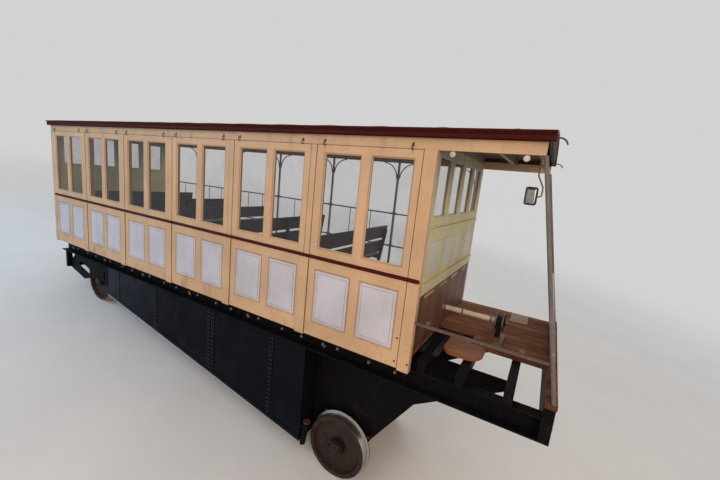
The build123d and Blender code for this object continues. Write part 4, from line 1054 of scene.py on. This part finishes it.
class CAR_OT_running_gear_bolts(bpy.types.Operator):
    """Adds the bolts of the springs' buckles and hangers, of the uphill headstock and of the drawbar"""
    bl_idname = "funicular.running_gear_bolts"
    bl_label = "Running gear bolts"

    def execute(self, context):
        half_hanger, buckle_rise, margin, drawbar_plate = 0.022, 0.143, 0.030, 0.0203
        stud = bolt_rows(0.010, 0.008)
        buckle_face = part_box("leaf_springs")[1].y
        low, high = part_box("spring_hangers")
        reach = WHEELSETS["wheelset_uphill"][0] - low.x - half_hanger
        bolts = Shell()
        for centre in WHEELSETS.values():
            hangers = centre[0] + reach * np.array([-1.0, 1.0])
            for side, basis in SIDES:
                bolts.copies(stud, grid_places(centre[0], side * buckle_face, centre[2] + buckle_rise), basis)
                bolts.copies(stud, grid_places(hangers, side * high.y, (low.z + high.z) / 2), basis)
        bolts.piece("spring_bolts", "rusty_bolt", in_body=False)

        low, high = body_box("uphill_headstock")
        levels = (low[2] + margin, high[2] - margin)
        across = (-0.82, -0.64, -0.42, -0.20, 0.20, 0.42, 0.64, 0.82)
        heads = Shell()
        heads.copies(stud, grid_places(low[0], across, levels), UPHILL)
        heads.copies(stud, grid_places(low[0] - drawbar_plate, (-0.085, 0.085), levels), UPHILL)
        heads.piece("headstock_bolts", "rusty_bolt")
        return {"FINISHED"}


class CAR_OT_drain_handwheel(bpy.types.Operator):
    """Adds the drain valve's stem and handwheel: a ring on four spokes about the valve's upright axis"""
    bl_idname = "funicular.drain_handwheel"
    bl_label = "Drain handwheel"

    def execute(self, context):
        valve_radius, ring_radius, ring_level, ring_half, spoke = 0.036, 0.040, 0.029, 0.005, 0.0035
        low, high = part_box("drain_valve")
        top = np.array([high.x - valve_radius, (low.y + high.y) / 2, high.z - 0.0004])
        stem = ((0.014, 0.0), (0.012, 0.010), (0.007, 0.012), (0.007, 0.038), (0.004, 0.041))
        swing = 2 * pi * np.arange(8) / 8
        ring = np.stack([ring_radius + ring_half * np.cos(swing), ring_level + ring_half * np.sin(swing)], -1)
        wheel = Shell()
        wheel.sheet(top + ring_rows(stem, 16))
        wheel.hoop(ring, 32, top, np.eye(3))
        for turn in pi / 4 + pi / 2 * np.arange(4):
            way = np.array([cos(turn), sin(turn), 0.0])
            path = np.stack([0.005 * way, 0.038 * way]) + (0.0, 0.0, ring_level)
            wheel.sheet(top + tube_rows(path, spoke, (0, 0, 1)))
        wheel.piece("drain_handwheel", "guard_red", in_body=False, smooth=True)
        return {"FINISHED"}


class CAR_OT_bench_bolts(bpy.types.Operator):
    """Adds the round bolt heads that hold the benches' back boards to their stands"""
    bl_idname = "funicular.bench_bolts"
    bl_label = "Bench bolts"

    def execute(self, context):
        head = ring_rows(dome_profile(0.010, 0.004), 12)
        outward = facing_basis((-cos(BENCH_RECLINE), 0.0, sin(BENCH_RECLINE)))
        board = (BENCH_HEAD - BENCH_TOP) / 2
        heads = Shell()
        for level in (BENCH_TOP + board / 2, BENCH_TOP + 1.5 * board):
            face = BENCH_FOOT + (level - BENCH_TOP) * np.tan(BENCH_RECLINE)
            heads.copies(head, grid_places(BAYS + face, BENCH_STANDS, level), outward)
        heads.piece("bench_bolts", "rusty_bolt", smooth=True)
        return {"FINISHED"}


class CAR_OT_wheel_ironwork(bpy.types.Operator):
    """Adds hub caps, hub bolts and tyre bolts to the four wheels"""
    bl_idname = "funicular.wheel_ironwork"
    bl_label = "Wheel ironwork"

    def execute(self, context):
        bolt = bolt_rows(0.012, 0.014)
        cap = ring_rows(((0.072, 0.0), (0.072, 0.010), (0.064, 0.018), (0.040, 0.024), (0.016, 0.026)), 32)
        for name, centre in WHEELSETS.items():
            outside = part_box(name)[1].y
            parts = Shell()
            for side, basis in SIDES:
                parts.copies(cap, np.array([[centre[0], side * outside, centre[2]]]), basis)
                # The hub's bolts, then the tyre's: how many, on what circle, how far inside the hub's face
                for count, radius, depth in ((6, 0.088, 0.0), (10, 0.362, 0.020)):
                    middle = np.array([centre[0], side * (outside - depth), centre[2]])
                    turn = 2 * pi * np.arange(count) / count
                    ring = np.column_stack([np.cos(turn), np.zeros(count), np.sin(turn)])
                    parts.copies(bolt, middle + radius * ring, basis)
            parts.piece(name + "_ironwork", name, body=name, in_body=False)
        return {"FINISHED"}


def end_lights():
    """Left and right of each window and panel in an end wall."""
    half = bulkhead_high[1]
    pitch = (2 * half - 2 * END_MARGIN + END_GAP) / END_LIGHTS
    lefts = -half + END_MARGIN + pitch * np.arange(END_LIGHTS)
    return [(left, left + pitch - END_GAP) for left in lefts]


class CAR_OT_end_mouldings(bpy.types.Operator):
    """Adds beads round the panes and panels of both end walls, and battens at the heads of their boards"""
    bl_idname = "funicular.end_mouldings"
    bl_label = "End wall mouldings"

    def execute(self, context):
        panel_bead = bead_section(PANEL_DEPTH, 0.011, ((0.0, 0.002), (0.004, 0.0025), (0.009, -0.001)))
        pane_bead = bead_section(GLASS_DEPTH, 0.012, ((0.0, -0.003), (0.004, -0.004), (0.010, -0.010)))
        foot, head, thick = END_CREAM_FOOT - 0.045, END_CREAM_FOOT - 0.012, 0.012
        beads = Shell()
        battens = Shell()
        for level, way in ((bulkhead_low[0], -1), (bulkhead_high[0], 1)):
            face = end_face(level, way)
            near, far = sorted((level, level + way * thick))
            for left, right in end_lights():
                beads.framed((left, right, *END_PANEL), panel_bead, face)
                beads.framed((left, right, *END_WINDOW), pane_bead, face)
                battens.sheet(board_rows((near, left + 0.05, foot), (far, right - 0.08, head)))
        beads.piece("end_beads", "bulkhead_cream")
        battens.piece("board_battens", "pale_timber")
        return {"FINISHED"}


class CAR_OT_roof_seams(bpy.types.Operator):
    """Adds rolled seams across the roof sheet, with a drip strip along each eaves"""
    bl_idname = "funicular.roof_seams"
    bl_label = "Roof seams"

    def execute(self, context):
        radius = context.scene.car_sizes.roof_seam
        strip, short, inside, over = 0.006, 0.004, 0.010, 0.002
        # The roof's arc: its radius from the chord's half and the rise, half * half + rise * rise over
        # twice the rise, and the level of its centre
        half = roof_high[1]
        rise = roof_high[2] - fascia_high[2]
        bend = (half ** 2 + rise ** 2) / (2 * rise)
        centre = roof_high[2] - bend
        reach = np.arcsin(half / bend)
        swing = np.linspace(-reach, reach, 41)
        seams = Shell()
        for place in np.arange(0.0, roof_high[0], BAY_PITCH / 2):
            path = [np.full(swing.size, place), bend * np.sin(swing), centre + bend * np.cos(swing)]
            seams.sheet(tube_rows(np.stack(path, -1), radius, (1, 0, 0)))
        along = (roof_low[0] + short, 0.0, roof_high[0] / 2, roof_high[0] - short)
        for side, _ in SIDES:
            path = grid_places(along, side * (half - inside), centre + bend * cos(reach) + over)
            seams.sheet(tube_rows(path, strip, (0, 0, 1)))
        seams.piece("roof_seams", "roof_sheet", smooth=True)
        return {"FINISHED"}


class CAR_OT_platform_boards(bpy.types.Operator):
    """Adds the studded tread plate, the foot board with two round corners and the timber under the drum"""
    bl_idname = "funicular.platform_boards"
    bl_label = "Platform boards"

    def execute(self, context):
        top, stud_pitch = FLOOR + 0.007, 0.033
        plate = Shell()
        plate.sheet(board_rows((8.24, 0.64, FLOOR + SEAT), (8.45, 0.99, top), 0.002))
        along, across = np.arange(8.262, 8.44, stud_pitch), np.arange(0.663, 0.98, stud_pitch)
        stud = ring_rows(dome_profile(0.007, 0.002), 8)
        plate.copies(stud, grid_places(along, across, top - 0.0002), SKYWARD)
        plate.piece("tread_plate", "pale_timber")

        left, right, near, far = 7.742, 8.128, -0.746, -0.335
        small, large = 0.11, 0.16
        outline = np.concatenate([
            [[left, far, 0.0]],
            arc((left + small, near + small, 0.0), small, 180.0, 270.0, (1, 0, 0), (0, 1, 0)),
            arc((right - large, near + large, 0.0), large, 270.0, 360.0, (1, 0, 0), (0, 1, 0), 11),
            [[right, far, 0.0]]])
        middle = outline.mean(0)
        eased = 0.985
        rows = [middle + (outline - middle) * draw + (0.0, 0.0, level) for level, draw in (
            (-0.7698, eased), (-0.766, 1.0), (-0.736, 1.0), (-0.732, eased))]
        board = Shell()
        board.sheet(np.stack(rows))
        board.piece("foot_board", "foot_board")

        timber = Shell()
        timber.sheet(board_rows((8.108, -0.352, FLOOR + SEAT), (8.262, 0.055, FLOOR + 0.030), 0.004))
        timber.piece("drum_timber", "drum_timber")
        return {"FINISHED"}


class CAR_OT_screen_screws(bpy.types.Operator):
    """Adds the round screws in the four fixings of the clear screen"""
    bl_idname = "funicular.screen_screws"
    bl_label = "Screen screws"

    def execute(self, context):
        fixing_radius, upper_reach = 0.024, 0.573
        low, high = body_box("screen_fixings")
        left, right = low[0] + fixing_radius, high[0] - fixing_radius
        foot, head = low[2] + fixing_radius, high[2] - fixing_radius
        spots = ((left, head), (left + upper_reach, head), (left, foot), (right, foot))
        places = np.array([(along, low[1], above) for along, above in spots])
        screw = ring_rows(((0.019, 0.0), (0.018, 0.003), (0.013, 0.0045), (0.008, 0.005)), 24)
        screws = Shell()
        screws.copies(screw, places, NEAR)
        screws.piece("screen_screws", "screen_fixings", smooth=True)
        return {"FINISHED"}


class CAR_OT_corner_hooks(bpy.types.Operator):
    """Adds a bent hook at each downhill corner of the roof"""
    bl_idname = "funicular.corner_hooks"
    bl_label = "Corner hooks"

    def execute(self, context):
        wire, bend, across, level = 0.0062, 0.060, 1.105, 1.330
        hooks = Shell()
        for side, _ in SIDES:
            root = np.array([roof_high[0] - 0.002, side * across, level])
            knee = root + (0.020, 0.0, -0.002)
            curl = arc(knee - (0.0, 0.0, bend), bend, 90.0, 12.0, (1, 0, 0), (0, 0, 1), 7)
            hooks.sheet(tube_rows(np.concatenate([[root, knee], curl[1:]]), wire, (0, 1, 0)))
        hooks.piece("corner_hooks", "hook_iron", smooth=True)
        return {"FINISHED"}


def mirror_rows(profile):
    """The mirror's rounded outline drawn in by each inset of the profile and raised from its face by
    each proud, with corners that keep a least radius."""
    corner, least = 0.024, 0.006
    middle = (mirror_low + mirror_high) / 2
    width, height = (mirror_high - mirror_low)[[0, 2]]
    rows = []
    for inset, proud in profile:
        loop = box_loop(width - 2 * inset, height - 2 * inset, max(corner - inset, least), 6)
        rows.append(np.column_stack([middle[0] + loop[:, 0], np.full(len(loop), mirror_low[1] - proud),
                                     middle[2] + loop[:, 1]]))
    return np.stack(rows)


class CAR_OT_mirror_face(bpy.types.Operator):
    """Adds the mirror's rim and its glass"""
    bl_idname = "funicular.mirror_face"
    bl_label = "Mirror"

    def execute(self, context):
        rim = Shell()
        rim.sheet(mirror_rows((
            (0.001, 0.0), (0.001, 0.006), (0.005, 0.009), (0.015, 0.007), (0.017, 0.0))), ring=True)
        rim.piece("mirror_rim", "mirror_glass", smooth=True)
        glass = Shell()
        glass.sheet(mirror_rows(((0.0175, SEAT), (0.0175, 0.002), (0.020, 0.0032), (0.040, 0.0036))))
        glass.piece("mirror_face", "silvered", smooth=True)
        return {"FINISHED"}


class CAR_OT_brake_gear(bpy.types.Operator):
    """Adds the drum's two bright rims and its nut, and three collars on the shaft"""
    bl_idname = "funicular.brake_gear"
    bl_label = "Brake gear"

    def execute(self, context):
        rim = ((0.0952, -0.003), (0.098, 0.000), (0.098, 0.012), (0.0952, 0.015), (0.0945, 0.006))
        collar = ((0.0303, 0.0), (0.037, 0.002), (0.037, 0.020), (0.0303, 0.022), (0.0300, 0.011))
        _, across, above = (shaft_low + shaft_high) / 2
        gear = Shell()
        for along in (drum_low[0] + 0.004, drum_low[0] + 0.078):
            gear.hoop(rim, 48, (along, across, above), DOWNHILL)
        gear.copies(bolt_rows(0.026, 0.022), np.array([[drum_high[0], across, above]]), DOWNHILL)
        for along in (shaft_low[0] + 0.01, shaft_low[0] + 0.22, shaft_high[0] - 0.06):
            gear.hoop(collar, 32, (along, across, above), DOWNHILL)
        gear.piece("brake_gear", "drum_steel", smooth=True)
        return {"FINISHED"}


class CAR_OT_column_collars(bpy.types.Operator):
    """Adds base flanges and collars to the far columns, and ferrules where the guard bars meet them"""
    bl_idname = "funicular.column_collars"
    bl_label = "Column collars"

    def execute(self, context):
        foot = ((0.0203, 0.0), (0.034, 0.0), (0.034, 0.006), (0.026, 0.010), (0.0245, 0.030), (0.0203, 0.034))
        neck = ((0.0203, 0.0), (0.026, 0.004), (0.026, 0.016), (0.0203, 0.020))
        low, high = body_box("far_columns")
        across = (low[1] + high[1]) / 2
        collars = Shell()
        for column in BAYS[1:]:
            for level, profile in ((FLOOR + SEAT, foot), (high[2] - 0.26, neck), (0.40, neck), (-0.13, neck)):
                collars.hoop(profile, 24, (column, across, level), SKYWARD)
        collars.piece("column_collars", "far_columns", smooth=True)

        bar = 0.011
        ferrule = ((bar + SEAT, 0.0), (0.0165, 0.002), (0.0165, 0.020), (bar + SEAT, 0.022))
        low, high = body_box("guard_bars")
        across = (low[1] + high[1]) / 2
        ferrules = Shell()
        for column in BAYS[1:]:
            for level in (low[2] + bar, high[2] - bar):
                for start in (column - 0.052, column + 0.030):
                    ferrules.hoop(ferrule, 20, (start, across, level), DOWNHILL)
        ferrules.piece("guard_ferrules", "guard_red", smooth=True)
        return {"FINISHED"}


# The sky's tint and strength, and each lamp's name, place, aim, size, watts and colour
SKY_TINT = (0.985, 0.98, 0.985)
SKY_LIGHT = 0.66
LAMPS = (
    ("key", (1.5, -8.5, 10.0), (0.5, 0.0, 2.0), 4.0, 150.0, (1.0, 0.92, 0.82)),
    ("warm_side", (8.0, -8.5, 6.5), (3.0, 0.0, 1.8), 5.0, 430.0, (1.0, 0.60, 0.31)),
    ("cool_side", (-9.0, -8.5, 6.5), (-3.5, 0.0, 1.8), 5.0, 520.0, (0.30, 0.63, 1.0)),
    ("back", (-1.0, 10.0, 8.0), (0.0, 0.0, 2.0), 6.0, 160.0, (0.95, 0.97, 1.0)),
)


def hang(name, data, place, axes):
    """A lamp or camera of the stage at a place, its own three axes turned to the given ones."""
    held = add_object(name, data)
    held.matrix_world = Matrix.Translation(place) @ Matrix(np.column_stack(axes).tolist()).to_4x4()
    return held


class CAR_OT_stage(bpy.types.Operator):
    """Lays the pale floor, hangs soft lights and sets the camera at the photograph's angle"""
    bl_idname = "funicular.stage"
    bl_label = "Stage"

    def execute(self, context):
        scene = context.scene
        floor = Shell()
        floor.sheet(ring_rows(((60.0, -0.35), (60.0, -0.001), (20.0, 0.0), (1.0, 0.0)), 64))
        add_object("studio_floor", floor.mesh("studio_floor", pale_floor(SKY_TINT, SKY_LIGHT)))

        scene.world = bpy.data.worlds.new("studio")
        scene.world.use_nodes = True
        sky = scene.world.node_tree.nodes["Background"]
        sky.inputs["Color"].default_value = (*SKY_TINT, 1.0)
        sky.inputs["Strength"].default_value = SKY_LIGHT
        scene.view_settings.view_transform = "Standard"

        for name, place, aim, size, watts, tint in LAMPS:
            lamp = bpy.data.lights.new(name, "AREA")
            lamp.shape = "DISK"
            lamp.size = size
            lamp.energy = watts
            lamp.color = tint
            hang(name, lamp, place, facing_basis(np.array(place) - np.array(aim)))

        lens = bpy.data.cameras.new("view")
        lens.sensor_width = 36.0
        lens.lens = 17.14
        lens.clip_end = 200.0
        right = np.array([0.8422, 0.4922, 0.2200])
        up = np.array([-0.3075, 0.1032, 0.9459])
        right /= np.linalg.norm(right)
        up -= right * (right @ up)
        up /= np.linalg.norm(up)
        scene.camera = hang("view", lens, (4.0907, -4.0729, 3.9373), (right, up, np.cross(right, up)))
        return {"FINISHED"}


STEPS = (
    CAR_OT_finishes, CAR_OT_wall_mouldings, CAR_OT_roof_board_beads, CAR_OT_hooks, CAR_OT_sill_bolts,
    CAR_OT_tank_rivets, CAR_OT_frame_rivets, CAR_OT_running_gear_bolts, CAR_OT_drain_handwheel,
    CAR_OT_bench_bolts, CAR_OT_wheel_ironwork, CAR_OT_end_mouldings, CAR_OT_roof_seams,
    CAR_OT_platform_boards, CAR_OT_screen_screws, CAR_OT_corner_hooks, CAR_OT_mirror_face,
    CAR_OT_brake_gear, CAR_OT_column_collars, CAR_OT_stage)


class CAR_PT_pieces(bpy.types.Panel):
    """Lists the car's sizes, colours and pieces"""
    bl_idname = "CAR_PT_pieces"
    bl_label = "Funicular car"
    bl_space_type = "VIEW_3D"
    bl_region_type = "UI"
    bl_category = "Funicular"

    def draw(self, context):
        column = self.layout.column(align=True)
        for group in (context.scene.car_sizes, context.scene.car_colours):
            for key in group.__annotations__:
                column.prop(group, key)
        column.separator()
        for step in STEPS:
            column.operator(step.bl_idname)


CLASSES = (CarSizes, CarColours, *STEPS, CAR_PT_pieces)


def register():
    for kind in CLASSES:
        bpy.utils.register_class(kind)
    bpy.types.Scene.car_sizes = bpy.props.PointerProperty(type=CarSizes)
    bpy.types.Scene.car_colours = bpy.props.PointerProperty(type=CarColours)


def unregister():
    del bpy.types.Scene.car_colours
    del bpy.types.Scene.car_sizes
    for kind in reversed(CLASSES):
        bpy.utils.unregister_class(kind)


def main():
    """Registers the add-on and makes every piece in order."""
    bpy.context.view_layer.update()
    register()
    for step in STEPS:
        family, name = step.bl_idname.split(".")
        getattr(getattr(bpy.ops, family), name)()


if __name__ == "__main__":
    main()
